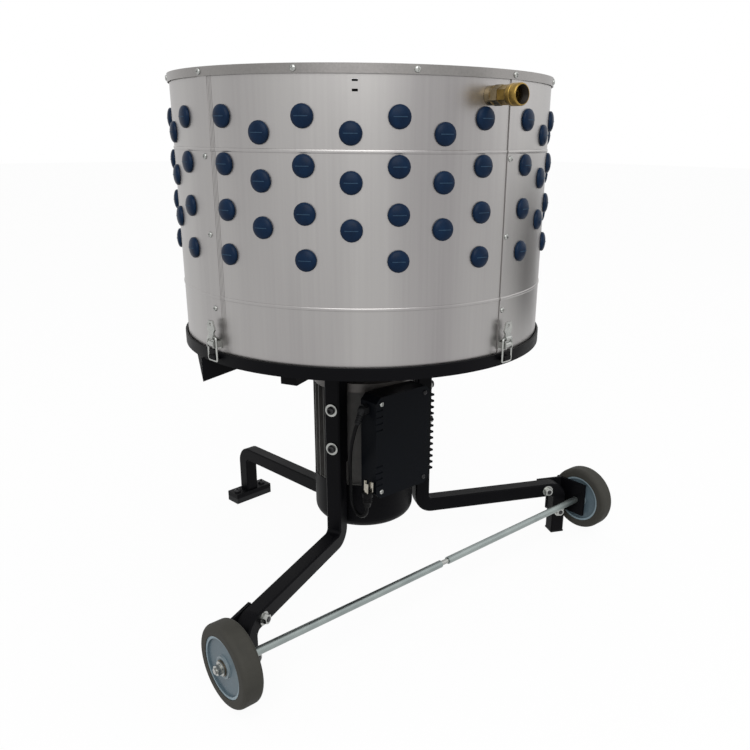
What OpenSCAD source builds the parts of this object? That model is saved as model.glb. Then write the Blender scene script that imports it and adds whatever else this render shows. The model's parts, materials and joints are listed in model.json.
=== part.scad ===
// Drum poultry plucker on a three-legged wheeled frame, millimetres, +Z up.
// The origin is on the floor under the middle of the machine's outline. The axle is at the front (-Y).
// A bearing is an angle about the drum axis: 0 is the front, and it grows towards +X.

/* [Drum] */
// Outside diameter of the drum wall
drum_d = 550; // [500:1:600]
// Height of the drum wall
drum_h = 375.4; // [365:0.2:400]
// Thickness of the drum sheet
sheet_t = 1.2; // [0.8:0.1:2]
// Turn of the drum on its base
drum_turn = 2.9; // [-10:0.1:10]
// Width of the lap where two panels join, along the wall
lap_w = 17; // [14:0.5:22]
// Gap between the two sheets of a lap
lap_gap = 0.1; // [0.1:0.05:0.4]
// Drop of the upper bead below the wall's top edge
upper_bead_drop = 95; // [94:0.1:96]
// Drop of the lower bead below the wall's top edge
lower_bead_drop = 284.7; // [282:0.1:288]
// Half height of a bead
bead_half = 2.4; // [2:0.1:3]
// How far a bead stands out
bead_out = 1; // [0.8:0.1:2.5]

/* [Fingers] */
// Diameter of a finger's domed head
head_d = 28; // [26:0.5:29]
// Height of a finger's domed head
head_h = 7; // [5:0.5:9]
// Hole that a finger is pulled through
finger_hole_d = 20.4; // [18:0.1:22]
// Radial gap between a finger's neck and its hole
neck_gap = 0.2; // [0.1:0.05:0.5]
// Diameter of a finger next to the wall
finger_root_d = 26; // [24:0.5:28]
// Diameter of a finger near its tip
finger_tip_d = 15; // [12:0.5:18]
// Length of a finger inside the wall
finger_l = 68; // [60:1:75]
// Drop of the first finger row below the wall's top edge
first_row_drop = 55.7; // [55:0.1:57]
// Height between two fingers of a column
row_step = 56.1; // [54:0.1:58]
// Rows in a long column of fingers
row_count = 4; // [2:1:4]
// Columns of fingers on a panel
column_count = 7; // [3:2:7]
// Angle between two columns
column_step = 12; // [10:0.5:12]
// Angle from a panel's edge to its first column
column_start = 9; // [8:0.5:12]

/* [Rim] */
// Height of the rim channel
rim_h = 11; // [10:0.2:16]
// Sheet thickness of the rim channel
rim_t = 1.2; // [0.8:0.1:2]
// Gap between the rim channel and the wall
rim_gap = 0.3; // [0.1:0.05:0.6]
// Thread diameter of the panel screws
screw_d = 4.8; // [4:0.1:5]
// Head diameter of the panel screws
screw_head_d = 9; // [7:0.5:10]
// Head height of the panel screws
screw_head_h = 2.6; // [2:0.1:4]
// Length of the panel screws under the head
screw_l = 9; // [8:0.5:12]
// Angle from a panel's edge to its screws
screw_start = 1.2; // [1.1:0.05:1.6]
// Drop of the top seam screw below the wall's top edge
seam_screw_drop = 103.4; // [102:0.2:108]
// Height between seam screws
seam_screw_step = 98.5; // [90:0.5:105]

/* [Water] */
// Drop of the spray ring below the wall's top edge
spray_drop = 29.4; // [28:0.1:30]
// Diameter of the spray ring's tube
spray_tube_d = 16; // [12:0.5:17]
// Wall of the spray ring's tube
spray_wall = 1.5; // [1:0.1:2.5]
// Space between the spray ring and the wall
spray_space = 7.8; // [7:0.1:12]
// Spray holes round the ring
spray_holes = 12; // [6:1:24]
// Diameter of a spray hole
spray_hole_d = 2.5; // [1.5:0.1:4]
// Angle from a panel's edge to the hose inlet
inlet_angle = 82.5; // [78:0.5:84]
// Shank diameter of the hose inlet
inlet_d = 14; // [12:0.1:15]
// Water way through the hose inlet
inlet_bore = 9; // [6:0.5:10]
// Width over the flats of the inlet's lock nut
inlet_nut_af = 21; // [20:0.5:22]
// Width over the flats of the inlet's body
inlet_af = 20; // [20:0.5:23]
// Distance of the hose end from the wall
inlet_reach = 54; // [50:1:66]
// Outside diameter of the swivel collar
swivel_d = 26; // [26:0.5:30]
// Thread minor diameter in the swivel collar
swivel_bore = 21; // [20:0.1:22]
// Depth of the thread in the swivel collar
swivel_depth = 12; // [10:0.1:16]

/* [Latches] */
// Height of a latch's lever pin above the deck
latch_pin_h = 28; // [27:0.5:34]
// Distance of the lever pin from the drum sheet
latch_stand = 10; // [9:0.5:14]
// Diameter of the lever pin
latch_pin_d = 4; // [3:0.1:4.5]
// Distance between the lever pin and the bail's pivot
latch_throw = 9; // [8.5:0.1:11]
// Length of a lever above its pin
lever_l = 32; // [28:0.5:40]
// Width of a lever's hub
lever_hub_w = 12; // [10:0.5:14]
// Wire diameter of a bail
bail_d = 3; // [2.5:0.1:3.4]
// Width of a latch's base
latch_base_w = 17; // [16.4:0.1:17.4]

/* [Base] */
// Height of the deck's underside above the floor
base_h = 416; // [401:1:440]
// Thickness of the deck
deck_t = 2; // [2:0.5:5]
// Height of the base ring
ring_h = 17; // [16:0.5:21]
// Thickness of the base ring
ring_t = 3; // [3:0.5:6]
// Gap between the drum and the base ring
ring_gap = 0.5; // [0.3:0.1:1]
// Bearing of the feather chute
chute_bearing = -115; // [-125:1:-105]
// Inside width of the feather chute
chute_w = 200; // [150:1:210]
// Drop of the chute's lip below the deck
chute_drop = 33; // [25:1:45]
// Plate thickness of the chute
chute_t = 2.5; // [1.5:0.1:4]
// Distance of the chute's inner end from the drum axis
chute_inner = 158; // [155:1:175]

/* [Legs] */
// Width of the square leg tube
tube_w = 25.4; // [22:0.1:26]
// Wall of the leg tube
tube_t = 2; // [1.5:0.1:3]
// Corner cut of the leg tube
tube_corner = 2.2; // [1:0.1:3]
// Bend radius of a leg on its centre line
bend_r = 19; // [17:0.5:24]
// Distance of the uprights from the drum axis
upright_r = 104; // [103:0.5:112]
// Height of the wheel legs' runs above the floor
run_z = 90; // [85:0.5:92]
// Height of the rear leg's run above the floor
rear_run_z = 101; // [90:0.5:108]
// Bearing of the wheel legs either side of the front
leg_bearing = 64.6; // [63:0.1:66]
// Distance of the wheel posts from the drum axis
post_r = 378; // [370:0.5:380]
// Bearing of the rear leg
rear_bearing = 184.5; // [175:0.5:190]
// Distance of the rear post from the drum axis
rear_r = 347; // [340:1:380]
// Thickness of the hanger bars that carry the legs
hanger_t = 4.5; // [3:0.5:5]
// Width of the hanger bars
hanger_w = 24; // [20:1:26]
// Length of the hanger bars below the deck
hanger_l = 195; // [185:1:215]
// Drop of the upper leg bolt below the deck
leg_bolt_drop = 101; // [85:1:110]
// Height between the two bolts of a leg
leg_bolt_step = 64; // [50:1:70]
// Bolt diameter of the frame
bolt_d = 8; // [6:0.5:8]
// Radial gap of the frame bolts in their holes
bolt_gap = 0.2; // [0.1:0.05:0.5]
// Washer diameter of the frame
washer_d = 20; // [16:0.5:22]
// Washer thickness of the frame
washer_t = 1.6; // [1:0.1:2]
// Thickness of the plugs under the wheel posts
plug_t = 3; // [2:0.5:6]
// Length of the rear foot plate
foot_w = 84; // [78:1:110]
// Depth of the rear foot plate
foot_depth = 32; // [30:1:40]
// Thickness of the rear foot plate
foot_t = 9; // [6:0.5:10]
// Thickness of the rear foot's rubber pad
pad_t = 11; // [5:0.5:12]
// Distance between the rear foot's bolts
foot_bolt_gap = 60; // [55:1:62]

/* [Wheels] */
// Diameter of a wheel
wheel_d = 116; // [100:1:122]
// Width of a wheel
wheel_w = 30; // [24:0.5:34]
// Diameter of a wheel's hub
hub_d = 86; // [70:1:90]
// Rounding of a tyre's shoulders
tyre_round = 7; // [3:0.5:9]
// Height of the axle above the floor
axle_z = 68; // [62:0.5:70]
// Distance of the axle from the drum axis
axle_y = 192.5; // [191:0.5:197]
// Diameter of the axle rod
axle_d = 8; // [6:0.1:8.5]
// Radial running gap of the wheels, levers, shaft and swivel
run_gap = 0.05; // [0.02:0.01:0.09]
// Outside diameter of a wheel's bronze bush
bush_d = 22; // [16:0.5:22]
// Outside diameter of the axle sleeves
sleeve_d = 12; // [11:0.1:13]
// Gap between the two axle sleeves
sleeve_gap = 16; // [8:0.5:24]
// Plate thickness of the axle brackets
bracket_t = 4.5; // [3:0.1:5]
// End play of a wheel between its washers
wheel_play = 0.3; // [0.2:0.05:0.6]

/* [Motor] */
// Diameter over the motor's fins
motor_d = 168; // [160:1:170]
// Diameter of the motor's body
motor_body_d = 150; // [140:1:152]
// Bore of the motor's body
motor_bore = 120; // [110:1:122]
// Height of the motor body's underside above the floor
motor_bottom = 170; // [160:1:180]
// Height of the motor body
motor_h = 166; // [150:1:170]
// Fins round the motor
fin_count = 36; // [24:1:48]
// Thickness of a fin
fin_t = 2.2; // [1.5:0.1:3]
// Diameter of the fan cowl
cowl_d = 168; // [164:0.5:172]
// Height of the fan cowl below the motor body
cowl_h = 73; // [60:1:75]
// Sheet thickness of the fan cowl
cowl_t = 1.6; // [1:0.1:2.5]
// Rounding of the cowl's lower edge
cowl_round = 18; // [10:1:25]
// Diameter of the motor shaft
shaft_d = 24; // [20:0.5:28]
// Outside diameter of the shaft bearings
bearing_d = 52; // [46:1:56]
// Width of the shaft bearings
bearing_w = 14; // [10:0.5:16]
// Thickness of the mounting bell's lower flange
bell_flange_t = 14; // [10:0.5:18]
// Diameter of the mounting bell's neck
bell_d = 104; // [96:1:112]
// Wall of the mounting bell's neck
bell_wall = 8; // [5:0.5:10]

/* [Feather plate] */
// Diameter of the feather plate
plate_d = 496; // [470:1:500]
// Thickness of the feather plate
plate_t = 5; // [4:0.5:6]
// Height of the feather plate's underside above the deck
plate_rise = 60; // [50:1:66]
// Diameter of the drive hub's flange
drive_flange_d = 90; // [84:1:96]
// Circle of the drive hub's bolts
drive_bolt_circle = 68; // [62:1:72]

/* [Control box] */
// Sideways place of the control box's middle
box_x = -18.5; // [-22:0.5:-12]
// Width of the control box
box_w = 112; // [104:1:114]
// Height of the control box
box_h = 167; // [160:1:175]
// Depth of the control box without its cover
box_depth = 24; // [22:0.5:30]
// Depth of the control box's cover
cover_depth = 12; // [10:0.5:16]
// Wall of the control box
box_wall = 3; // [2:0.1:4]
// Corner cut of the control box
box_corner = 9; // [6:0.5:12]
// Cooling ribs on the control box
box_ribs = 13; // [8:1:15]
// Height between two cooling ribs
box_rib_step = 10.6; // [9:0.1:11]
// How far a cooling rib stands out
box_rib_out = 12; // [6:0.5:14]

/* [Cord] */
// Diameter of the power cord
cord_d = 6; // [6:0.1:7.5]
// Diameter of the cord gland
gland_d = 16; // [14:0.5:20]
// Length of the cord gland
gland_l = 24; // [22:0.5:26]

/* [Hidden] */
$fn = 96;
eps = 0.01;
wall_r = drum_d / 2;
deck_top = base_h + deck_t;
wall_top = deck_top + drum_h;
lap_deg = lap_w / wall_r * 180 / PI;
lap_steps = 4;
lap_step_deg = 0.5;
lap_end_deg = 0.2;
lap_off = sheet_t + lap_gap;
lap_r = wall_r + lap_off;
panel_deg = 90;
bead_steps = 6;

// Fingers: the neck grips the sheet, with room for the wall's curve behind the head and the shoulder
neck_r = finger_hole_d / 2 - neck_gap;
head_lift = 0.15;
shoulder_gap = 0.5;
finger_tip_round = 4;

// Rim channel, over the lapped wall
rim_in_r = wall_r - sheet_t - rim_gap;
rim_out_r = lap_r + rim_gap;
rim_top = wall_top + rim_gap + rim_t;
screw_hole_d = screw_d + 0.4;
rim_screw_z = rim_top - rim_h / 2;
screws_a_panel = 3;
screws_a_seam = 3;

// Water
spray_z = wall_top - spray_drop;
spray_r = wall_r - sheet_t - spray_space - spray_tube_d / 2;
inlet_bearing = drum_turn - panel_deg + inlet_angle;
inlet_seat = wall_r + 0.1;
inlet_nut_t = 21;
inlet_flange_t = 9;
inlet_clear = 0.1;
inlet_neck_d = 14;
inlet_lip_d = 18;
inlet_lip_t = 2.6;
swivel_lip = 4;
swivel_play = 0.3;
swivel_pocket = inlet_lip_t + 2 * swivel_play;
clip_w = 10;
clip_wall = 2;
clip_gap = 0.15;
clip_rise = 1.5;
slot_w = 7;
slot_h = 3;
slot_step = 11;
clip_angle = 46.1;

// Latches
latch_angle = 1.6;
latch_x = lap_r + latch_stand;
latch_z = deck_top + latch_pin_h;
latch_base_t = 1.8;
latch_base_drop = 7;
latch_base_h = 13;
ear_drop = 5;
ear_h = 9;
ear_t = 1.7;
ear_gap = 0.3;
bail_gap = 0.4;
bail_y = lever_hub_w / 2 + ear_gap + ear_t + bail_gap + bail_d / 2;
bail_bend = bail_d;
bail_stub = 2;
bail_top = latch_z + latch_throw;
keeper_w = 2 * (bail_y - bail_d / 2) - 2.8;
keeper_t = 5;
keeper_gap = 0.3;
keeper_seat = 0.05;
keeper_past = 1;
keeper_z = deck_top + 6;
bail_bottom = keeper_z - keeper_gap - bail_d / 2;
lever_t = 2.5;
lever_hub_d = 2 * latch_pin_d;
bail_hub_d = bail_d + 4;
lever_wide = 18;
lever_narrow = 11;
lever_flare = 8;

// Base
ring_in = lap_r + ring_gap;
ring_out = ring_in + ring_t;
chute_outer = sqrt(pow(ring_out + 3, 2) - pow(chute_w / 2 + chute_t, 2));
chute_open_outer = sqrt(pow(wall_r - 14, 2) - pow(chute_w / 2, 2));
chute_hole_side = 4;
deck_hole_d = 52;
arm_w = 25;
arm_h = 24;
arm_reach = 240;

// Legs
leg_top = base_h;
hanger_r = upright_r - tube_w / 2 - hanger_t;
post_plug_in = 12;
post_plug_gap = 0.2;
bolt_head_t = 5;
bolt_head_d = 13;
nut_t = 6.5;
nut_af = 13;
bracket_bolt_in = 27;
bracket_bolt_z = 45;
foot_top = pad_t + foot_t;
foot_bolt_tip = 3;

// Wheels and axle
bracket_in = post_r * sin(leg_bearing) + tube_w / 2 * (sin(leg_bearing) + cos(leg_bearing)) + 0.8;
bracket_out = bracket_in + bracket_t;
wheel_in = bracket_out + washer_t + wheel_play;
wheel_mid = wheel_in + wheel_w / 2;
wheel_out = wheel_in + wheel_w;
axle_nut_x = wheel_out + wheel_play + washer_t;
axle_half = axle_nut_x + nut_t + 2;
bracket_low = 40;
bracket_inset = 0.2;
bracket_high = run_z + tube_w / 2 - bracket_inset;
bracket_strip = 36;
bracket_wide = 14;
bracket_front = 18;
bracket_past = tube_w / 2 + 3.2;
hub_rim_t = 4;
hub_web_t = 22;
hub_boss_d = bush_d + 9;
tyre_seat = 0.05;

// Motor
motor_top = motor_bottom + motor_h;
motor_rim_r = cowl_d / 2 - cowl_t - 0.3;
motor_rim_h = 8;
motor_shield_t = 16;
fin_in = 4;
fin_clear_bearing = 76;
fin_clear_rear = 10;
cowl_bottom = motor_bottom - cowl_h;
cowl_lap = 6;
fin_bottom = motor_bottom + cowl_lap + 1;
cowl_slots = 14;
cowl_slot_w = 7;
cowl_slot_in = 24;
cowl_slot_l = 30;
shaft_bottom = cowl_bottom + 12;
bearing_seat = 0.05;
bell_top_t = 8;
bell_top_d = 158;
fan_r = motor_bore / 2 - 2;
fan_h = 26;
fan_z = cowl_bottom + 16;
fan_blades = 7;
fan_blade_t = 3;
fan_plate_t = 3;
rotor_d = 76;
rotor_gap = 0.5;
stator_h = 90;
stator_rise = 46;
stator_z = motor_bottom + stator_rise;
box_pad_w = 60;
box_pad_low = 14;
box_pad_short = 24;
bell_flange_r = motor_d / 2 - 1;
box_pad_y = bell_flange_r + 1.5;

// Feather plate
plate_z = deck_top + plate_rise;
plate_top = plate_z + plate_t;
drive_flange_t = 10;
drive_hub_d = 48;
drive_hub_l = 40;
shaft_top = plate_z - 0.5;
drive_bolt_l = 12;
drive_bolts = 4;
plate_rings = [[80, 6], [138, 8], [194, 12]];

// Control box
box_bottom = 178;
box_top = box_bottom + box_h;
box_mid = box_bottom + box_h / 2;
box_back = box_pad_y;
box_front = box_back + box_depth;
cover_front = box_front + cover_depth;
box_post = 11;
box_screw_in = 11;
box_rib_t = 3;
box_rib_back = 2;
cover_groove = 1.2;
groove_first = 30;
groove_l = 14;
gland_z = box_top - 22;
gland_y = box_back + box_depth / 2;
gland_hex_l = 8;
gland_ball_d = 13.6;
gland_root_d = 11;
gland_turn = 205;

// Middle of the outline from the hose end to the rear foot
hose_end_y = (wall_r + inlet_reach) * cos(inlet_bearing) + swivel_d / 2 * abs(sin(inlet_bearing));
rear_turn = rear_bearing - 180;
foot_end_y = (rear_r + foot_depth / 2) * cos(rear_turn) + foot_w / 2 * abs(sin(rear_turn));
middle_y = (foot_end_y - hose_end_y) / 2;

// Route of the power cord from its gland to its plug
cord_sides = 10;
cord_route = [
    [-92.64, -96.5, 301.25], [-96.5, -95.7, 290.4], [-98.3, -93.6, 279.4], [-98.4, -90.4, 268.4],
    [-97, -86.5, 257.1], [-94.7, -82.2, 245.6], [-91.7, -77.6, 233.7], [-88.4, -73.3, 221.3],
    [-85.2, -69.4, 208.5], [-82.5, -66.2, 195], [-80.6, -64.1, 180.9], [-79.9, -63.3, 166],
    [-80.2, -66.5, 154], [-81.2, -75.2, 145.2], [-82.5, -87.2, 142], [-83.7, -99.1, 145.2],
    [-84.7, -107.8, 154], [-85, -111, 166]
];
plug_at = cord_route[len(cord_route) - 1];
plug_tilt = 2;
plug_d = 18;
plug_l = 26;
plug_collar_d = 13;
plug_collar_l = 8;
prong_l = 16;
prong_t = 1.6;
prong_w = 6.4;
prong_off = 5;
earth_d = 4.8;
earth_off = 5.5;

// Moves the drum axis so that the origin is under the middle of the outline
module in_frame() {
    translate([0, -middle_y, 0]) children();
}

// Turns +X to a bearing, so that local x runs outwards and local y runs towards larger bearings
module at_bearing(bearing) {
    rotate([0, 0, bearing - 90]) children();
}

// A length of a turned profile between two angles
module sector(from, to) {
    rotate([0, 0, from]) rotate_extrude(angle = to - from, $fn = 240) children();
}

// A cylinder along local x
module rod_x(x, l, d) {
    translate([x, 0, 0]) rotate([0, 90, 0]) cylinder(h = l, d = d);
}

// A cylinder along local y, centred
module rod_y(l, d) {
    rotate([90, 0, 0]) cylinder(h = l, d = d, center = true);
}

// A hexagon along local x
module hex_x(x, l, af) {
    translate([x, 0, 0]) rotate([0, 90, 0]) cylinder(h = l, d = af / cos(30), $fn = 6);
}

function seam_bearing(i) = drum_turn + panel_deg * i;

// Drum wall

function bead_points(z, r) = [
    for (i = [0 : bead_steps])
        let (a = 180 * i / bead_steps) [r + bead_out * sin(a), z - bead_half * cos(a)]
];

function wall_side(r) = concat(
    [[r, deck_top]],
    bead_points(wall_top - lower_bead_drop, r),
    bead_points(wall_top - upper_bead_drop, r),
    [[r, wall_top]]
);

function reversed(list) = [for (i = [len(list) - 1 : -1 : 0]) list[i]];

module wall_profile(off) {
    polygon(concat(wall_side(wall_r + off), reversed(wall_side(wall_r + off - sheet_t))));
}

// A hole through the wall at an angle from the panel's edge
module wall_hole(angle, z, d) {
    rotate([0, 0, angle]) translate([wall_r - 15, 0, z]) rotate([0, 90, 0]) cylinder(h = 30, d = d);
}

function column_angle(j) = column_start + column_step * j;
function column_rows(j) = row_count - j % 2;
function finger_z(j, i) = wall_top - first_row_drop - row_step * (i + (j % 2) / 3);

module drum_panel(n) {
    color("lightgray") at_bearing(seam_bearing(n - 1)) difference() {
        union() {
            sector(lap_deg, panel_deg + lap_deg - lap_end_deg) wall_profile(0);
            for (k = [1 : lap_steps - 1])
                sector(lap_deg, lap_deg + lap_step_deg * (k + 1))
                    wall_profile(lap_off * (1 - k / lap_steps));
            sector(0, lap_deg + lap_step_deg) wall_profile(lap_off);
        }
        for (j = [0 : column_count - 1], i = [0 : column_rows(j) - 1])
            wall_hole(column_angle(j), finger_z(j, i), finger_hole_d);
        for (edge = [0, panel_deg], i = [0 : screws_a_seam - 1])
            wall_hole(edge + screw_start, seam_screw_z(i), screw_hole_d);
        for (i = [0 : screws_a_panel])
            wall_hole(screw_start + panel_deg / screws_a_panel * i, rim_screw_z, screw_hole_d);
        for (k = [0, 1])
            rotate([0, 0, clip_angle]) translate([wall_r, 0, clip_tab_z() - slot_step * k])
                cube([30, slot_w, slot_h], center = true);
        if (n == 4)
            wall_hole(inlet_angle, spray_z, inlet_d + 2 * inlet_clear);
    }
}

function seam_screw_z(i) = wall_top - seam_screw_drop - seam_screw_step * i;

module rim_channel() {
    color("silver") difference() {
        rotate_extrude($fn = 240) polygon([
            [rim_in_r, rim_top - rim_h], [rim_in_r, rim_top - rim_t],
            [rim_out_r, rim_top - rim_t], [rim_out_r, rim_top - rim_h],
            [rim_out_r + rim_t, rim_top - rim_h], [rim_out_r + rim_t, rim_top],
            [rim_in_r - rim_t, rim_top], [rim_in_r - rim_t, rim_top - rim_h]
        ]);
        for (n = [0 : 3], i = [0 : screws_a_panel - 1])
            at_bearing(seam_bearing(n)) wall_hole(screw_angle(i), rim_screw_z, screw_hole_d);
    }
}

function screw_angle(i) = screw_start + panel_deg / screws_a_panel * i;

// A pan-head screw along local x, its head seated at x
module pan_screw(x, l) {
    rotate([0, 90, 0]) translate([0, 0, x]) rotate_extrude($fn = 32) polygon([
        [0, -l], [screw_d / 2, -l], [screw_d / 2, 0], [screw_head_d / 2, 0],
        [screw_head_d / 2, screw_head_h * 0.4], [screw_head_d * 0.36, screw_head_h * 0.85], [0, screw_head_h]
    ]);
}

module panel_screws() {
    color("gainsboro") {
        for (n = [0 : 3]) at_bearing(seam_bearing(n)) {
            for (i = [0 : screws_a_panel - 1])
                rotate([0, 0, screw_angle(i)]) translate([0, 0, rim_screw_z])
                    pan_screw(rim_out_r + rim_t, screw_l);
            for (i = [0 : screws_a_seam - 1])
                rotate([0, 0, screw_start]) translate([0, 0, seam_screw_z(i)]) pan_screw(lap_r, screw_l);
        }
        at_box_screws() rotate([0, 0, -90]) pan_screw(cover_front, cover_depth + screw_l);
    }
}

// Rubber fingers

// A finger along local x: the outer sheet face is at x = 0, the head is outside and the finger points to -x
module finger(grip) {
    rotate([0, 90, 0]) rotate_extrude($fn = 40) polygon([
        [0, head_h], [head_d * 0.34, head_h * 0.8], [head_d / 2, head_h * 0.3], [head_d / 2, head_lift],
        [neck_r, head_lift], [neck_r, -grip], [finger_root_d / 2, -grip],
        [finger_tip_d / 2, -grip - finger_l + finger_tip_round],
        [finger_tip_d / 2 - finger_tip_round, -grip - finger_l], [0, -grip - finger_l]
    ]);
}

// The fingers of two neighbouring panels
module drum_fingers(first) {
    color([0.1, 0.18, 0.3])
    for (n = [first - 1, first], j = [0 : column_count - 1], i = [0 : column_rows(j) - 1])
        at_bearing(seam_bearing(n) + column_angle(j)) translate([wall_r, 0, finger_z(j, i)])
            finger(sheet_t + shoulder_gap);
}

// Water

module spray_ring() {
    color("silver") difference() {
        union() {
            rotate_extrude($fn = 180) translate([spray_r, spray_z]) circle(d = spray_tube_d);
            at_bearing(inlet_bearing) translate([0, 0, spray_z])
                rod_x(spray_r, spray_tube_d / 2 + spray_space - rim_gap, inlet_d + 2 * inlet_clear + 5);
        }
        rotate_extrude($fn = 180) translate([spray_r, spray_z]) circle(d = spray_tube_d - 2 * spray_wall);
        at_bearing(inlet_bearing) translate([0, 0, spray_z])
            rod_x(spray_r + spray_tube_d / 2 - 1, spray_space + 2, inlet_d + 2 * inlet_clear);
        at_bearing(inlet_bearing) translate([0, 0, spray_z])
            rod_x(spray_r, spray_tube_d / 2, inlet_bore);
        for (i = [0 : spray_holes - 1])
            at_bearing(inlet_bearing + 360 / spray_holes * (i + 0.5)) translate([0, 0, spray_z])
                rod_x(spray_r - spray_tube_d / 2 - 1, spray_wall + 3, spray_hole_d);
    }
}

function clip_tab_z() = spray_z + spray_tube_d / 2 + clip_wall + slot_h / 2 + clip_rise;

module spray_clips() {
    color("dimgray") for (n = [0 : 3]) at_bearing(seam_bearing(n) + clip_angle) difference() {
        union() {
            translate([spray_r, 0, spray_z]) rod_y(clip_w, spray_tube_d + 2 * (clip_gap + clip_wall));
            translate([spray_r, -clip_w / 2, clip_tab_z() - 4])
                cube([wall_r - sheet_t - rim_gap - spray_r, clip_w, 5]);
            translate([spray_r, -slot_w / 2 + 1, clip_tab_z() - slot_h / 2 + 0.4])
                cube([wall_r - spray_r + 0.6, slot_w - 2, slot_h - 0.8]);
        }
        translate([spray_r, 0, spray_z]) rod_y(clip_w + 1, spray_tube_d + 2 * clip_gap);
    }
}

module at_inlet() {
    at_bearing(inlet_bearing) translate([0, 0, spray_z]) children();
}

inlet_body_x = inlet_seat + inlet_nut_t + 0.3;
swivel_x = wall_r + inlet_reach - swivel_depth - swivel_pocket - swivel_lip;

module inlet_fitting() {
    color("goldenrod") at_inlet() difference() {
        union() {
            rod_x(spray_r + spray_tube_d / 2, inlet_body_x - spray_r - spray_tube_d / 2 + 1, inlet_d);
            hex_x(inlet_body_x, swivel_x - swivel_play - inlet_body_x, inlet_af);
            rod_x(swivel_x - 1, swivel_lip + swivel_play + 2, inlet_neck_d);
            rod_x(swivel_x + swivel_lip + swivel_play, inlet_lip_t, inlet_lip_d);
        }
        rod_x(spray_r, inlet_reach + spray_space + spray_tube_d, inlet_bore);
    }
}

module inlet_nut() {
    color("goldenrod") at_inlet() difference() {
        union() {
            rod_x(inlet_seat, inlet_flange_t, inlet_nut_af + 2);
            hex_x(inlet_seat + inlet_flange_t - 1, inlet_nut_t - inlet_flange_t + 1, inlet_nut_af);
        }
        rod_x(inlet_seat - 1, inlet_nut_t + 2, inlet_d + 2 * inlet_clear);
    }
}

module hose_swivel() {
    color("gold") at_inlet() difference() {
        rod_x(swivel_x, swivel_lip + swivel_pocket + swivel_depth, swivel_d);
        rod_x(swivel_x - 1, swivel_lip + 2, inlet_neck_d + 2 * run_gap);
        rod_x(swivel_x + swivel_lip, swivel_pocket + 1, inlet_lip_d + 2 * swivel_play);
        rod_x(swivel_x + swivel_lip + swivel_pocket, swivel_depth + 1, swivel_bore);
    }
}

// Latches, one at the foot of each seam

module at_latch(n) {
    at_bearing(seam_bearing(n) + latch_angle) children();
}

module latch_bases() {
    base_deg = latch_base_w / 2 / lap_r * 180 / PI;
    color("silver") for (n = [0 : 3]) at_latch(n) difference() {
        union() {
            translate([0, 0, latch_z - latch_base_drop]) sector(-base_deg, base_deg)
                translate([lap_r + 0.1, 0]) square([latch_base_t, latch_base_h]);
            for (s = [-1, 1])
                translate([lap_r + latch_base_t / 2, s * (lever_hub_w / 2 + ear_gap + ear_t / 2), latch_z])
                    translate([0, -ear_t / 2, -ear_drop])
                        cube([latch_stand + latch_pin_d / 2 + 1, ear_t, ear_h]);
        }
        translate([latch_x, 0, latch_z]) rod_y(2 * bail_y, latch_pin_d + 2 * run_gap);
    }
}

module latch_pins() {
    color("gray") for (n = [0 : 3]) at_latch(n) translate([latch_x, 0, latch_z])
        rod_y(lever_hub_w + 2 * (ear_gap + ear_t), latch_pin_d);
}

module latch_lever(n) {
    color("silver") at_latch(n - 1) difference() {
        union() {
            translate([latch_x, 0, latch_z]) rod_y(lever_hub_w, lever_hub_d);
            translate([latch_x, 0, bail_top]) rod_y(lever_hub_w, bail_hub_d);
            translate([latch_x - lever_t / 2, -lever_hub_w / 2, latch_z])
                cube([lever_t, lever_hub_w, latch_throw + lever_flare]);
            translate([latch_x - lever_t / 2, 0, bail_top + lever_flare]) rotate([90, 0, 90])
                linear_extrude(height = lever_t) polygon([
                    [-lever_hub_w / 2, -1], [lever_hub_w / 2, -1], [lever_wide / 2, 3],
                    [lever_narrow / 2, lever_l - latch_throw - lever_flare],
                    [-lever_narrow / 2, lever_l - latch_throw - lever_flare], [-lever_wide / 2, 3]
                ]);
        }
        translate([latch_x, 0, latch_z]) rod_y(lever_hub_w + 2, latch_pin_d + 2 * run_gap);
        translate([latch_x, 0, bail_top]) rod_y(lever_hub_w + 2, bail_d + 2 * run_gap);
        translate([latch_x, 0, latch_z + lever_l - 5]) rotate([0, 90, 0])
            cylinder(h = 3 * lever_t, d = 4, center = true);
    }
}

// A quarter bend of the bail's wire, from +y to +z about the bend's middle
module bail_corner() {
    rotate([90, 0, 90]) rotate_extrude(angle = 90, $fn = 48)
        translate([bail_bend, 0]) circle(d = bail_d, $fn = 32);
}

module latch_bail(n) {
    straight = bail_y - bail_bend;
    color("silver") at_latch(n - 1) translate([latch_x, 0, 0]) {
        translate([0, 0, bail_bottom]) rod_y(2 * straight, bail_d);
        for (s = [0, 1]) mirror([0, s, 0]) {
            translate([0, straight, bail_bottom + bail_bend]) rotate([-90, 0, 0]) bail_corner();
            translate([0, bail_y, bail_bottom + bail_bend])
                cylinder(h = bail_top - bail_bottom - 2 * bail_bend, d = bail_d);
            translate([0, straight, bail_top - bail_bend]) bail_corner();
            translate([0, (straight + bail_stub) / 2, bail_top]) rod_y(straight - bail_stub, bail_d);
        }
    }
}

// Tabs on the base's ring that the bails hook under
module latch_keepers() {
    keeper_deg = keeper_w / 2 / ring_out * 180 / PI;
    color([0.08, 0.08, 0.09]) for (n = [0 : 3]) at_latch(n) translate([0, 0, keeper_z])
        sector(-keeper_deg, keeper_deg) translate([ring_out + keeper_seat, 0])
            square([latch_x + bail_d / 2 + keeper_past - ring_out - keeper_seat, keeper_t]);
}

// Base

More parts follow.
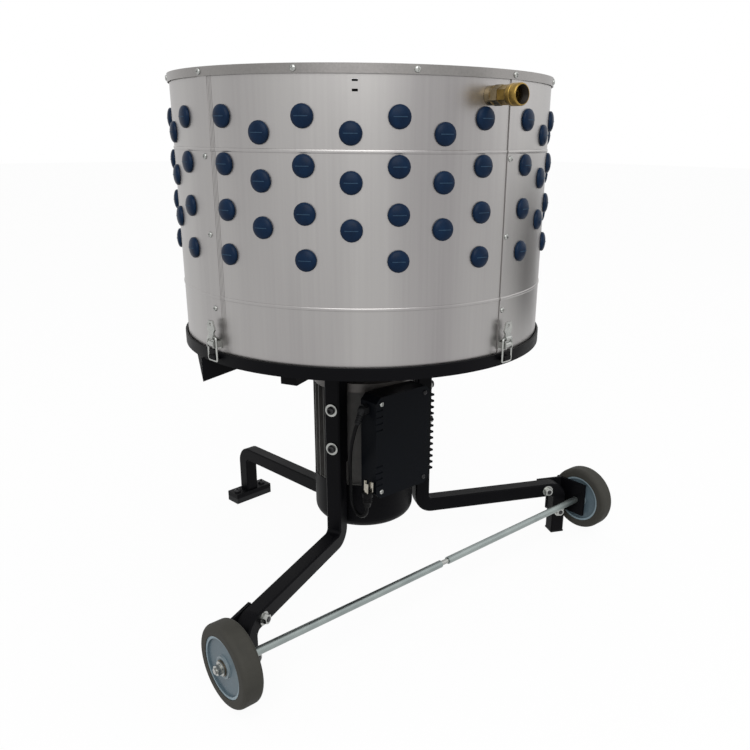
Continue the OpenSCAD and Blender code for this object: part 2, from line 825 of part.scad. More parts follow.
module base_pan() {
    color([0.08, 0.08, 0.09]) difference() {
        union() {
            rotate_extrude($fn = 240) polygon([
                [0, base_h], [ring_out, base_h], [ring_out, base_h + ring_h], [ring_in, base_h + ring_h],
                [ring_in, deck_top], [0, deck_top]
            ]);
            for (b = leg_bearings()) at_bearing(b)
                translate([hanger_r, -hanger_w / 2, base_h - hanger_l])
                    cube([hanger_t, hanger_w, hanger_l + 1]);
            for (b = leg_bearings()) at_bearing(b)
                translate([leg_face + 0.5, -arm_w / 2, base_h - arm_h])
                    cube([arm_reach - leg_face - 0.5, arm_w, arm_h + 1]);
        }
        translate([0, 0, base_h - 1]) cylinder(h = deck_t + 2, d = deck_hole_d);
        at_bearing(chute_bearing)
            translate([chute_inner + 8, -chute_w / 2 + chute_hole_side, base_h - 1])
                cube([chute_open_outer - chute_inner - 8, chute_w - 2 * chute_hole_side, deck_t + 2]);
        for (b = leg_bearings(), z = leg_bolt_heights()) at_bearing(b) translate([0, 0, z])
            rod_x(hanger_r - 1, hanger_t + 2, bolt_d + 2 * bolt_gap);
    }
}

function leg_bearings() = [-leg_bearing, leg_bearing, rear_bearing];
function leg_bolt_heights() = [base_h - leg_bolt_drop, base_h - leg_bolt_drop - leg_bolt_step];

module feather_chute() {
    run = chute_outer - chute_inner;
    color([0.08, 0.08, 0.09]) at_bearing(chute_bearing) translate([chute_inner, 0, base_h]) {
        rotate([90, 0, 0]) linear_extrude(height = chute_w, center = true) polygon([
            [0, 0], [run, -chute_drop], [run, -chute_drop - chute_t], [0, -chute_t]
        ]);
        for (s = [-1, 1])
            translate([0, s * (chute_w / 2 + chute_t / 2), 0]) rotate([90, 0, 0])
                linear_extrude(height = chute_t, center = true)
                    polygon([[0, 0], [run, 0], [run, -chute_drop - chute_t], [0, -chute_t]]);
    }
}

// Legs

module tube_shape() {
    h = tube_w / 2;
    c = tube_corner;
    difference() {
        polygon([
            [h, c - h], [h, h - c], [h - c, h], [c - h, h],
            [-h, h - c], [-h, c - h], [c - h, -h], [h - c, -h]
        ]);
        square(tube_w - 2 * tube_t, center = true);
    }
}

module tube_bend() {
    rotate([90, 0, 0]) rotate_extrude(angle = 90) translate([bend_r, 0]) tube_shape();
}

// A leg in its own bearing: upright, run and post, out to reach and down to foot_z
module leg_tube(reach, foot_z, level) {
    translate([upright_r, 0, level + bend_r])
        linear_extrude(height = leg_top - level - bend_r) tube_shape();
    translate([upright_r + bend_r, 0, level + bend_r]) rotate([0, 180, 0]) tube_bend();
    translate([upright_r + bend_r, 0, level]) rotate([0, 90, 0])
        linear_extrude(height = reach - upright_r - 2 * bend_r) tube_shape();
    translate([reach - bend_r, 0, level - bend_r]) tube_bend();
    translate([reach, 0, foot_z]) linear_extrude(height = level - bend_r - foot_z) tube_shape();
}

module leg_bolt_holes() {
    for (z = leg_bolt_heights()) translate([0, 0, z])
        rod_x(upright_r - tube_w, 2 * tube_w, bolt_d + 2 * bolt_gap);
}

// Places children, whose local y runs along a bolt's axis, at both bracket bolts of a wheel leg
module at_bracket_bolts() {
    translate([post_r - bracket_bolt_in, 0, run_z]) children();
    translate([post_r, 0, bracket_bolt_z]) children();
}

module wheel_leg(side) {
    color([0.08, 0.08, 0.09]) at_bearing(side * leg_bearing) difference() {
        leg_tube(post_r, plug_t, run_z);
        leg_bolt_holes();
        at_bracket_bolts() rod_y(2 * tube_w, bolt_d + 2 * bolt_gap);
    }
}

module rear_leg() {
    color([0.08, 0.08, 0.09]) at_bearing(rear_bearing) difference() {
        union() {
            leg_tube(rear_r, foot_top, rear_run_z);
            foot_slab(pad_t, foot_t);
        }
        leg_bolt_holes();
    }
}

// A bolt along local x with its head seated at x and its thread towards -x
module frame_bolt(x, l) {
    rotate([0, 90, 0]) translate([0, 0, x]) rotate_extrude($fn = 48) polygon([
        [0, -l], [bolt_d / 2, -l], [bolt_d / 2, 0], [bolt_head_d / 2, 0],
        [bolt_head_d / 2, bolt_head_t * 0.4], [bolt_head_d * 0.38, bolt_head_t], [0, bolt_head_t]
    ]);
}

module frame_washer(x) {
    difference() {
        rod_x(x, washer_t, washer_d);
        rod_x(x - 1, washer_t + 2, bolt_d + 2 * bolt_gap);
    }
}

module frame_nut(x) {
    difference() {
        hex_x(x, nut_t, nut_af);
        rod_x(x - 1, nut_t + 2, bolt_d + 2 * bolt_gap);
    }
}

// Bolt axes of the frame, each with local x pointing out of the bolt's head
module at_leg_bolts() {
    for (b = leg_bearings(), z = leg_bolt_heights()) at_bearing(b) translate([0, 0, z]) children();
}

module at_wheel_bolts() {
    for (side = [-1, 1])
        at_bearing(side * leg_bearing) at_bracket_bolts() rotate([0, 0, side * 90]) children();
}

module at_foot_bolts() {
    for (s = [-1, 1]) translate([rear_r, s * foot_bolt_gap / 2, 0]) rotate([0, -90, 0]) children();
}

leg_face = upright_r + tube_w / 2;
bracket_face = tube_w / 2 + bracket_t;

module frame_bolts() {
    color("dimgray") {
        at_leg_bolts() frame_bolt(leg_face + washer_t, washer_t + tube_w + hanger_t + nut_t - 0.5);
        at_wheel_bolts() frame_bolt(bracket_face, bracket_face + tube_w / 2 + washer_t + nut_t + 1);
        at_bearing(rear_bearing) at_foot_bolts() frame_bolt(foot_top, foot_top - foot_bolt_tip);
    }
}

module frame_washers() {
    color("silver") {
        at_leg_bolts() frame_washer(leg_face);
        at_wheel_bolts() frame_washer(-tube_w / 2 - washer_t);
        for (side = [-1, 1], x = [bracket_out, wheel_out + wheel_play])
            at_axle_end(side) frame_washer(x);
    }
}

module frame_nuts() {
    color("silver") {
        at_leg_bolts() frame_nut(hanger_r - nut_t);
        at_wheel_bolts() frame_nut(-tube_w / 2 - washer_t - nut_t);
        for (side = [-1, 1]) at_axle_end(side) frame_nut(axle_nut_x);
    }
}

module post_plug() {
    inner = tube_w - 2 * tube_t - 2 * post_plug_gap;
    translate([0, 0, plug_t / 2]) cube([tube_w, tube_w, plug_t], center = true);
    translate([0, 0, plug_t + post_plug_in / 2 - eps]) cube([inner, inner, post_plug_in], center = true);
}

// A slab of the rear foot, in the rear leg's own bearing
module foot_slab(z, t) {
    difference() {
        translate([rear_r - foot_depth / 2, -foot_w / 2, z]) cube([foot_depth, foot_w, t]);
        at_foot_bolts() rod_x(foot_bolt_tip - 0.3, foot_top, bolt_d + 2 * bolt_gap);
    }
}

// The plugs under the wheel posts and the pad under the rear foot
module rubber_feet() {
    color("black") {
        for (side = [-1, 1]) at_bearing(side * leg_bearing) translate([post_r, 0, 0]) post_plug();
        at_bearing(rear_bearing) foot_slab(0, pad_t);
    }
}

// Wheels and axle. Local x runs outwards along the axle, on either side

module at_axle_end(side) {
    translate([0, -axle_y, axle_z]) rotate([0, 0, side > 0 ? 0 : 180]) children();
}

module axle_bracket(side) {
    high = bracket_high - bracket_low;
    strip_low = run_z - tube_w / 2 + bracket_inset;
    side_y = side > 0 ? tube_w / 2 : -tube_w / 2 - bracket_t;
    color([0.08, 0.08, 0.09]) difference() {
        union() {
            at_bearing(side * leg_bearing) {
                translate([post_r - bracket_strip, side_y, strip_low])
                    cube([bracket_strip + bracket_past, bracket_t, bracket_high - strip_low]);
                translate([post_r - bracket_wide, side_y, bracket_low])
                    cube([bracket_wide + bracket_past, bracket_t, high]);
            }
            translate([side > 0 ? bracket_in : -bracket_out, -axle_y - bracket_front, bracket_low])
                cube([bracket_t, axle_y + bracket_front - post_r * cos(leg_bearing) + tube_w * 0.6, high]);
        }
        at_axle_end(side) rod_x(bracket_in - 1, bracket_t + 2, axle_d + 2 * bolt_gap);
        at_bearing(side * leg_bearing) at_bracket_bolts() rod_y(3 * tube_w, bolt_d + 2 * bolt_gap);
    }
}

module axle_rod() {
    color("silver") translate([-axle_half, -axle_y, axle_z]) rotate([0, 90, 0])
        cylinder(h = 2 * axle_half, d = axle_d);
}

module axle_sleeves() {
    color("lightsteelblue") for (from = [-bracket_in, sleeve_gap])
        translate([0, -axle_y, axle_z]) difference() {
            rod_x(from, bracket_in - (from > 0 ? sleeve_gap : 0), sleeve_d);
            rod_x(from - 1, bracket_in + 2, axle_d + 2 * bolt_gap);
        }
}

// A profile turned about the axle: x is the radius and y runs outwards from the wheel's middle
module wheel_turn(side) {
    at_axle_end(side) translate([wheel_mid, 0, 0]) rotate([0, 90, 0]) rotate_extrude($fn = 120) children();
}

module wheel_hub(side) {
    color("slategray") wheel_turn(side) {
        half = wheel_w / 2 - 1.5;
        bore = bush_d / 2 + tyre_seat;
        web = hub_web_t / 2;
        rim = hub_d / 2 - hub_rim_t;
        polygon([
            [bore, -half], [hub_boss_d / 2, -half], [hub_boss_d / 2, -web], [rim, -web], [rim, -half],
            [hub_d / 2, -half], [hub_d / 2, half], [rim, half], [rim, web], [hub_boss_d / 2, web],
            [hub_boss_d / 2, half], [bore, half]
        ]);
    }
}

module wheel_tyre(side) {
    color([0.3, 0.3, 0.28]) wheel_turn(side) {
        half = wheel_w / 2;
        seat = hub_d / 2 + tyre_seat;
        shoulder = wheel_d / 2 - tyre_round;
        arc = [for (a = [0 : 15 : 90]) tyre_round * [cos(a), sin(a)]];
        polygon(concat(
            [[seat, -half]],
            [for (p = reversed(arc)) [shoulder + p[0], -half + tyre_round - p[1]]],
            [for (p = arc) [shoulder + p[0], half - tyre_round + p[1]]],
            [[seat, half]]
        ));
    }
}

module wheel_bush(side) {
    color("peru") wheel_turn(side)
        polygon([
            [axle_d / 2 + run_gap, -wheel_w / 2], [bush_d / 2, -wheel_w / 2],
            [bush_d / 2, wheel_w / 2], [axle_d / 2 + run_gap, wheel_w / 2]
        ]);
}

// Motor

module mounting_bell() {
    bell_mid = motor_top + bell_flange_t;
    color("gray") difference() {
        union() {
            translate([0, 0, motor_top]) cylinder(h = bell_flange_t, r = bell_flange_r);
            translate([0, 0, bell_mid - 1]) cylinder(h = base_h - bell_mid + 1, d = bell_d);
            translate([0, 0, base_h - bell_top_t]) cylinder(h = bell_top_t, d = bell_top_d);
        }
        translate([0, 0, motor_top - 1])
            cylinder(h = base_h - bell_seat - motor_top + 1, d = bell_d - 2 * bell_wall);
        translate([0, 0, base_h - bell_seat - 1]) cylinder(h = bell_seat + 2, d = shaft_d + 6);
        translate([0, 0, base_h - bell_seat - 1])
            cylinder(h = bearing_w + 1, d = bearing_d + 2 * bearing_seat);
    }
}

bell_seat = bearing_w + 6;

module shaft_bearing(z) {
    translate([0, 0, z]) difference() {
        cylinder(h = bearing_w, d = bearing_d);
        translate([0, 0, -1]) cylinder(h = bearing_w + 2, d = shaft_d + 2 * run_gap);
    }
}

module shaft_bearings() {
    color("silver") {
        shaft_bearing(base_h - bell_seat);
        shaft_bearing(motor_bottom + motor_shield_t - bearing_w);
    }
}

module motor_body() {
    color("dimgray") difference() {
        union() {
            translate([0, 0, motor_bottom]) cylinder(h = motor_h, d = motor_body_d);
            translate([0, 0, motor_bottom]) cylinder(h = motor_rim_h, r = motor_rim_r);
            for (i = [0 : fin_count - 1]) let (b = 360 / fin_count * i)
                if (b >= fin_clear_bearing && b <= 360 - fin_clear_bearing
                    && abs(b - rear_bearing) >= fin_clear_rear)
                    at_bearing(b) translate([motor_body_d / 2 - fin_in, -fin_t / 2, fin_bottom])
                        cube([motor_d / 2 - motor_body_d / 2 + fin_in, fin_t, motor_top - fin_bottom]);
            translate([box_x - box_pad_w / 2, -box_pad_y, box_bottom + box_pad_low])
                cube([box_pad_w, box_pad_y - motor_bore / 2 + 6, motor_top - box_bottom - box_pad_short]);
        }
        translate([0, 0, motor_bottom + motor_shield_t]) cylinder(h = motor_h, d = motor_bore);
        translate([0, 0, motor_bottom - 1]) cylinder(h = motor_h, d = shaft_d + 6);
        translate([0, 0, motor_bottom + motor_shield_t - bearing_w])
            cylinder(h = motor_h, d = bearing_d + 2 * bearing_seat);
    }
}

module motor_stator() {
    color("orangered") translate([0, 0, stator_z]) difference() {
        cylinder(h = stator_h, d = motor_bore - 2 * bearing_seat);
        translate([0, 0, -1]) cylinder(h = stator_h + 2, d = rotor_d + 2 * rotor_gap);
    }
}

module fan_cowl() {
    r = cowl_d / 2;
    top = motor_bottom + cowl_lap;
    corner = [for (a = [0 : 15 : 90]) [cos(a), -sin(a)]];
    color([0.08, 0.08, 0.09]) difference() {
        rotate_extrude($fn = 120) polygon(concat(
            [[r - cowl_t, top], [r, top]],
            [for (p = corner) [r - cowl_round, cowl_bottom + cowl_round] + cowl_round * p],
            [[0, cowl_bottom], [0, cowl_bottom + cowl_t]],
            [for (p = reversed(corner))
                [r - cowl_round, cowl_bottom + cowl_round] + (cowl_round - cowl_t) * p]
        ));
        for (i = [0 : cowl_slots - 1])
            rotate([0, 0, 360 / cowl_slots * i]) translate([cowl_slot_in, -cowl_slot_w / 2, cowl_bottom - 1])
                cube([cowl_slot_l, cowl_slot_w, cowl_t + 2]);
    }
}

// Turning parts

module motor_shaft() {
    color("silver") {
        translate([0, 0, shaft_bottom]) cylinder(h = shaft_top - shaft_bottom, d = shaft_d);
        translate([0, 0, stator_z]) cylinder(h = stator_h, d = rotor_d);
    }
}

module cooling_fan() {
    hub_r = shaft_d / 2 + 7;
    color("darkslategray") translate([0, 0, fan_z]) difference() {
        union() {
            cylinder(h = fan_h + 2, r = hub_r);
            cylinder(h = fan_plate_t, r = fan_r);
            for (i = [0 : fan_blades - 1]) rotate([0, 0, 360 / fan_blades * i])
                translate([hub_r - 2, -fan_blade_t / 2, fan_plate_t - 1])
                    cube([fan_r - hub_r, fan_blade_t, fan_h - fan_plate_t + 1]);
        }
        translate([0, 0, -1]) cylinder(h = fan_h + 4, d = shaft_d + 2 * run_gap);
    }
}

module drive_hub() {
    color("gray") translate([0, 0, plate_z]) difference() {
        union() {
            translate([0, 0, -drive_flange_t]) cylinder(h = drive_flange_t, d = drive_flange_d);
            translate([0, 0, -drive_hub_l]) cylinder(h = drive_hub_l, d = drive_hub_d);
        }
        translate([0, 0, -drive_hub_l - 1]) cylinder(h = drive_hub_l + 2, d = shaft_d + 2 * run_gap);
        at_drive_bolts() translate([0, 0, -drive_bolt_l])
            cylinder(h = 2 * drive_bolt_l, d = bolt_d + 2 * bolt_gap);
    }
}

module at_drive_bolts() {
    for (i = [0 : drive_bolts - 1]) rotate([0, 0, 360 / drive_bolts * i])
        translate([drive_bolt_circle / 2, 0, 0]) children();
}

module drive_bolts() {
    color("silver") at_drive_bolts() translate([0, 0, plate_top]) rotate([0, -90, 0])
        frame_bolt(0, plate_t + drive_bolt_l - 4);
}

module feather_plate() {
    color("silver") translate([0, 0, plate_z]) difference() {
        cylinder(h = plate_t, d = plate_d, $fn = 180);
        at_plate_fingers() translate([0, 0, -1]) cylinder(h = plate_t + 2, d = finger_hole_d);
        at_drive_bolts() translate([0, 0, -1]) cylinder(h = plate_t + 2, d = bolt_d + 2 * bolt_gap);
    }
}

module at_plate_fingers() {
    for (ring = plate_rings, i = [0 : ring[1] - 1])
        rotate([0, 0, 360 / ring[1] * (i + 0.5)]) translate([ring[0], 0, 0]) children();
}

module plate_fingers() {
    color([0.1, 0.18, 0.3]) translate([0, 0, plate_z]) at_plate_fingers() rotate([0, 90, 0])
        finger(plate_t + head_lift);
}

// Control box on the motor's front

module box_outline(inset) {
    w = box_w / 2 - inset;
    h = box_h / 2 - inset;
    c = box_corner;
    polygon([
        [w, c - h], [w, h - c], [w - c, h], [c - w, h], [-w, h - c], [-w, c - h], [c - w, -h], [w - c, -h]
    ]);
}

// A slab of the box's outline between two depths in front of the drum axis
module box_slab(from, to, inset) {
    translate([box_x, -from, box_mid]) rotate([90, 0, 0])
        linear_extrude(height = to - from) box_outline(inset);
}

module at_box_screws() {
    for (x = [-1, 1], z = [box_bottom + box_screw_in, box_top - box_screw_in])
        translate([box_x + x * (box_w / 2 - box_screw_in), 0, z]) children();
}

module control_box() {
    color([0.06, 0.07, 0.08]) difference() {
        union() {
            difference() {
                box_slab(box_back, box_front, 0);
                box_slab(box_back + box_wall, box_front + 1, box_wall);
            }
            intersection() {
                box_slab(box_back, box_front, box_wall / 2);
                at_box_screws() translate([-box_post / 2, -box_front, -box_post / 2])
                    cube([box_post, box_depth, box_post]);
            }
            side_ribs(box_back, box_front);
        }
        at_box_screws() rotate([90, 0, 0])
            translate([0, 0, box_back + box_wall]) cylinder(h = box_depth, d = screw_hole_d);
        translate([box_x - box_w / 2, -gland_y, gland_z])
            rotate([0, 90, 0]) cylinder(h = 3 * box_wall, d = cord_d + 1, center = true);
    }
}

// Cooling ribs on the box's right side, between two depths
module side_ribs(from, to) {
    low = box_mid - box_rib_step * (box_ribs - 1) / 2 - box_rib_t / 2;
    for (i = [0 : box_ribs - 1])
        translate([box_x + box_w / 2 - 1, -to, low + box_rib_step * i])
            cube([box_rib_out + 1, to - from, box_rib_t]);
}

module box_cover() {
    color([0.06, 0.07, 0.08]) difference() {
        union() {
            box_slab(box_front, cover_front, 0);
            side_ribs(box_front, cover_front - box_rib_back);
        }
        box_slab(box_front - 1, cover_front - box_wall, box_wall + box_post);
        at_box_screws() rotate([90, 0, 0]) cylinder(h = cover_front + 1, d = screw_hole_d);
        for (k = [0 : 3], s = [-1, 1])
            let (groove_z = box_mid + s * (groove_first + box_rib_step * k))
                translate([box_x - box_w / 2 - 1, -cover_front - 1, groove_z])
                    cube([groove_l, cover_groove + 1, box_rib_t]);
    }
}

// An elbow on the box's left side, whose taper points down along the cord
module cord_gland() {
    color("black") translate([box_x - box_w / 2, -gland_y, gland_z]) mirror([1, 0, 0]) difference() {
        union() {
            hex_x(0, gland_hex_l, gland_d);
            translate([gland_hex_l, 0, 0]) {
                sphere(d = gland_ball_d);
                rotate([0, -gland_turn, 0]) cylinder(h = gland_l, d1 = gland_root_d, d2 = cord_d + 3);
            }
        }
        rod_x(-1, gland_hex_l, cord_d + 1);
    }
}

// Cord swept along its route, with a ring of points at each place

function unit(v) = v / norm(v);
function route_along(i) =
    let (last = len(cord_route) - 1)
        i == 0 ? [sin(gland_turn), 0, cos(gland_turn)] :
        i == last ? [sin(plug_tilt), 0, cos(plug_tilt)] :
        unit(unit(cord_route[i + 1] - cord_route[i]) + unit(cord_route[i] - cord_route[i - 1]));
function ring_points(i) =
    let (
        t = route_along(i),
        side = unit(cross(t, [1, 0, 0])),
        up = cross(side, t)
    ) [for (k = [0 : cord_sides - 1])
        let (a = 360 / cord_sides * k) cord_route[i] + cord_d / 2 * (cos(a) * side + sin(a) * up)];

module power_cord() {
    n = cord_sides;
    last = len(cord_route) - 1;
    points = [for (i = [0 : last]) each ring_points(i)];
    sides = [
        for (i = [0 : last - 1], k = [0 : n - 1])
            let (a = i * n + k, b = i * n + (k + 1) % n) each [[a, b, b + n], [a, b + n, a + n]]
    ];
    ends = [
        for (k = [1 : n - 2]) each [[0, k + 1, k], [last * n, last * n + k, last * n + k + 1]]
    ];
    color("black") polyhedron(points = points, faces = [for (f = concat(sides, ends)) reversed(f)]);
}

module at_plug() {
    translate(plug_at) rotate([0, plug_tilt, 0]) children();
}

module power_plug() {
    color("black") at_plug() {
        cylinder(h = plug_collar_l + 1, d = plug_collar_d);
        translate([0, 0, plug_collar_l]) cylinder(h = plug_l - plug_collar_l, d = plug_d);
    }
}

module plug_prongs() {
    color("silver") at_plug() translate([0, 0, plug_l]) {
        for (s = [-1, 1])
            translate([s * prong_off - prong_t / 2, -prong_w, 0]) cube([prong_t, prong_w, prong_l]);
        translate([0, earth_off, 0]) cylinder(h = prong_l + 2, d = earth_d);
    }
}

in_frame() drum_panel(1);  // drum_panel_1
in_frame() drum_panel(2);  // drum_panel_2
in_frame() drum_panel(3);  // drum_panel_3
in_frame() drum_panel(4);  // drum_panel_4
in_frame() rim_channel();
in_frame() panel_screws();
in_frame() drum_fingers(1);  // drum_fingers_1
in_frame() drum_fingers(3);  // drum_fingers_2
in_frame() spray_ring();
in_frame() spray_clips();
in_frame() inlet_fitting();
in_frame() inlet_nut();
in_frame() hose_swivel();
in_frame() latch_bases();
in_frame() latch_pins();
in_frame() latch_keepers();
in_frame() latch_lever(1);  // latch_lever_1
in_frame() latch_lever(2);  // latch_lever_2
in_frame() latch_lever(3);  // latch_lever_3
in_frame() latch_lever(4);  // latch_lever_4
in_frame() latch_bail(1);  // latch_bail_1
in_frame() latch_bail(2);  // latch_bail_2
in_frame() latch_bail(3);  // latch_bail_3
in_frame() latch_bail(4);  // latch_bail_4
in_frame() base_pan();
in_frame() feather_chute();
in_frame() wheel_leg(-1);  // left_leg
in_frame() wheel_leg(1);  // right_leg
in_frame() rear_leg();
in_frame() frame_bolts();
in_frame() frame_washers();
in_frame() frame_nuts();
in_frame() rubber_feet();
in_frame() axle_bracket(-1);  // left_bracket
in_frame() axle_bracket(1);  // right_bracket
in_frame() axle_rod();
in_frame() axle_sleeves();
in_frame() wheel_hub(-1);  // left_hub
in_frame() wheel_hub(1);  // right_hub
in_frame() wheel_tyre(-1);  // left_tyre
in_frame() wheel_tyre(1);  // right_tyre
in_frame() wheel_bush(-1);  // left_bush
in_frame() wheel_bush(1);  // right_bush
in_frame() mounting_bell();
in_frame() motor_body();
in_frame() motor_stator();
in_frame() shaft_bearings();
in_frame() fan_cowl();
in_frame() motor_shaft();
in_frame() cooling_fan();
in_frame() drive_hub();
in_frame() drive_bolts();
in_frame() feather_plate();
in_frame() plate_fingers();
in_frame() control_box();
in_frame() box_cover();
in_frame() cord_gland();
in_frame() power_cord();
in_frame() power_plug();
in_frame() plug_prongs();
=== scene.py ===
import json
import math

import bpy
from mathutils import Matrix, Vector


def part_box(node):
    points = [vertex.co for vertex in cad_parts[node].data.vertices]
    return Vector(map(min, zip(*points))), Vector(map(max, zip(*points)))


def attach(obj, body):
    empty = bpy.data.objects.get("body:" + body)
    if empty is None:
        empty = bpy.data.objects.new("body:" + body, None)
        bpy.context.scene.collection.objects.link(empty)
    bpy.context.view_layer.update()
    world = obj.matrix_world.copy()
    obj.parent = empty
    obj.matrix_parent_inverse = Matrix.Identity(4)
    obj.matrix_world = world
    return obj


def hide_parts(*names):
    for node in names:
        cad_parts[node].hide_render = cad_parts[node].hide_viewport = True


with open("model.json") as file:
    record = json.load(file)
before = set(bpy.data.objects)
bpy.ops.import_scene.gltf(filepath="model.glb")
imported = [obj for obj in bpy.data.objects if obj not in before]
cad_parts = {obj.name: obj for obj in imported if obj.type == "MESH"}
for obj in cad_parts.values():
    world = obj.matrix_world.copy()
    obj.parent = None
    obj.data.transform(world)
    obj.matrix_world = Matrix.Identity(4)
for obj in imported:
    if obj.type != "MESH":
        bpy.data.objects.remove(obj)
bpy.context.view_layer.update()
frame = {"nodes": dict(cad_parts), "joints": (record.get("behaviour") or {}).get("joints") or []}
nodes = frame["nodes"]
jointPlace = {j["name"]: Vector(j["pos_m"]) for j in frame["joints"]}
drumY = jointPlace["rotor_spin"].y  # drum axis in the frame
axleY, axleZ = jointPlace["left_wheel_spin"].yz
print("frame loaded:", len(nodes), "nodes")

mm = 0.001  # millimetres to metres
white = (1, 1, 1, 1)

# Camera, at the photo's place about the drum axis
photoCamera = {
    "place": (-0.7839, -0.9601, 0.7166),
    "heading": 41.78,  # degrees from +Y towards +X
    "pitch": 19.2,  # degrees down
    "roll": 0.55,
    "lens": 37.26,
    "sensor": 36,
    "shift": (-0.0286, 0.0416),
    "farthest": 80,
}


def addCamera(spec):
    heading, pitch, roll = (math.radians(spec[k]) for k in ("heading", "pitch", "roll"))
    ahead = Vector((
        math.sin(heading) * math.cos(pitch), math.cos(heading) * math.cos(pitch), -math.sin(pitch),
    ))
    side = Vector((math.cos(heading), -math.sin(heading), 0))
    up = side.cross(ahead)
    right = math.cos(roll) * side + math.sin(roll) * up
    top = math.cos(roll) * up - math.sin(roll) * side
    turn = Matrix((right, top, -ahead)).transposed().to_4x4()
    x, y, z = spec["place"]
    bpy.ops.object.camera_add()
    camera = bpy.context.object
    camera.matrix_world = Matrix.Translation((x, y + drumY, z)) @ turn
    camera.data.sensor_width = spec["sensor"]
    camera.data.lens = spec["lens"]
    camera.data.shift_x, camera.data.shift_y = spec["shift"]
    camera.data.clip_end = spec["farthest"]
    bpy.context.scene.camera = camera


addCamera(photoCamera)
bpy.context.scene.view_settings.view_transform = "Standard"


# Materials: sRGB colours, and the Mix node's sockets for values and for colours
valueA, valueB, valueOut = 2, 3, 0
colourA, colourB, colourOut = 6, 7, 2
# The noise behind every finish, and the part of its range that the two colours span
noise = {"grainDetail": 5, "cloudDetail": 2, "falloff": 0.6, "low": 0.3, "high": 0.7, "grainShare": 0.4}


def linearColour(text):
    parts = [int(text[i:i + 2], 16) / 255 for i in (1, 3, 5)]
    return (*[c / 12.92 if c <= 0.04045 else ((c + 0.055) / 1.055) ** 2.4 for c in parts], 1.0)


def addNode(tree, kind, settings=None, values=None, links=None):
    node = tree.nodes.new(kind)
    for name, value in (settings or {}).items():
        setattr(node, name, value)
    for name, value in (values or {}).items():
        node.inputs[name].default_value = value
    for name, source in (links or {}).items():
        tree.links.new(source, node.inputs[name])
    return node


def paintedHighlightRings(tree, place, spec, ground):
    # Painted highlight: pale rings about the axle, laid over the ground colour
    flat = addNode(
        tree, "ShaderNodeVectorMath", settings={"operation": "MULTIPLY_ADD"},
        values={1: (0, 1, 1), 2: (0, -axleY, -axleZ)}, links={0: place.outputs["Object"]},
    )
    radius = addNode(
        tree, "ShaderNodeVectorMath", settings={"operation": "LENGTH"}, links={0: flat.outputs["Vector"]},
    )
    for middle, half, colour in spec["rings"]:
        off = addNode(
            tree, "ShaderNodeMath", settings={"operation": "SUBTRACT"},
            values={1: middle * mm}, links={0: radius.outputs["Value"]},
        )
        away = addNode(
            tree, "ShaderNodeMath", settings={"operation": "ABSOLUTE"}, links={0: off.outputs["Value"]},
        )
        share = addNode(
            tree, "ShaderNodeMapRange", settings={"interpolation_type": "SMOOTHSTEP"},
            values={
                "From Min": spec["highlightCore"] * half * mm, "From Max": half * mm, "To Min": 1.0, "To Max": 0.0,
            },
            links={"Value": away.outputs["Value"]},
        )
        ground = addNode(
            tree, "ShaderNodeMix", settings={"data_type": "RGBA"}, values={colourB: linearColour(colour)},
            links={0: share.outputs["Result"], colourA: ground.outputs[colourOut]},
        )
    return ground


def surfaceMaterial(spec):
    # Two close colours and a spread of roughness on one noise, with a fine bump from its grain
    material = bpy.data.materials.new(spec["name"])
    material.use_nodes = True
    tree = material.node_tree
    shader = tree.nodes["Principled BSDF"]
    place = addNode(tree, "ShaderNodeTexCoord")
    textures = {}
    for name, scale, detail in (
        ("grain", spec.get("stretch"), noise["grainDetail"]),
        ("cloud", spec.get("cloudStretch"), noise["cloudDetail"]),
    ):
        stretch = addNode(
            tree, "ShaderNodeMapping", values={"Scale": scale or (1, 1, 1)},
            links={"Vector": place.outputs["Object"]},
        )
        textures[name] = addNode(
            tree, "ShaderNodeTexNoise",
            values={"Scale": 1 / (spec[name] * mm), "Detail": detail, "Roughness": noise["falloff"]},
            links={"Vector": stretch.outputs["Vector"]},
        )
    both = addNode(
        tree, "ShaderNodeMix", values={0: spec.get("grainShare", noise["grainShare"])},
        links={valueA: textures["cloud"].outputs["Fac"], valueB: textures["grain"].outputs["Fac"]},
    )
    spread = addNode(
        tree, "ShaderNodeMapRange", values={"From Min": noise["low"], "From Max": noise["high"]},
        links={"Value": both.outputs[valueOut]},
    )
    first, second = (linearColour(colour) for colour in spec["colours"])
    colour = addNode(
        tree, "ShaderNodeMix", settings={"data_type": "RGBA"}, values={colourA: first, colourB: second},
        links={0: spread.outputs["Result"]},
    )
    # Painted highlight rings over the base colour, for finishes that list them
    if "rings" in spec:
        colour = paintedHighlightRings(tree, place, spec, colour)
    tree.links.new(colour.outputs[colourOut], shader.inputs["Base Color"])
    smooth, dull = spec["roughness"]
    rough = addNode(
        tree, "ShaderNodeMapRange", values={"To Min": smooth, "To Max": dull},
        links={"Value": spread.outputs["Result"]},
    )
    tree.links.new(rough.outputs["Result"], shader.inputs["Roughness"])
    bump = addNode(
        tree, "ShaderNodeBump", values={"Strength": spec["bump"], "Distance": spec["depth"] * mm},
        links={"Height": textures["grain"].outputs["Fac"]},
    )
    tree.links.new(bump.outputs["Normal"], shader.inputs["Normal"])
    shader.inputs["Metallic"].default_value = spec.get("metallic", 0.0)
    for key, socket in (("ior", "IOR"), ("specular", "Specular IOR Level"), ("anisotropic", "Anisotropic")):
        if key in spec:
            shader.inputs[socket].default_value = spec[key]
    return material


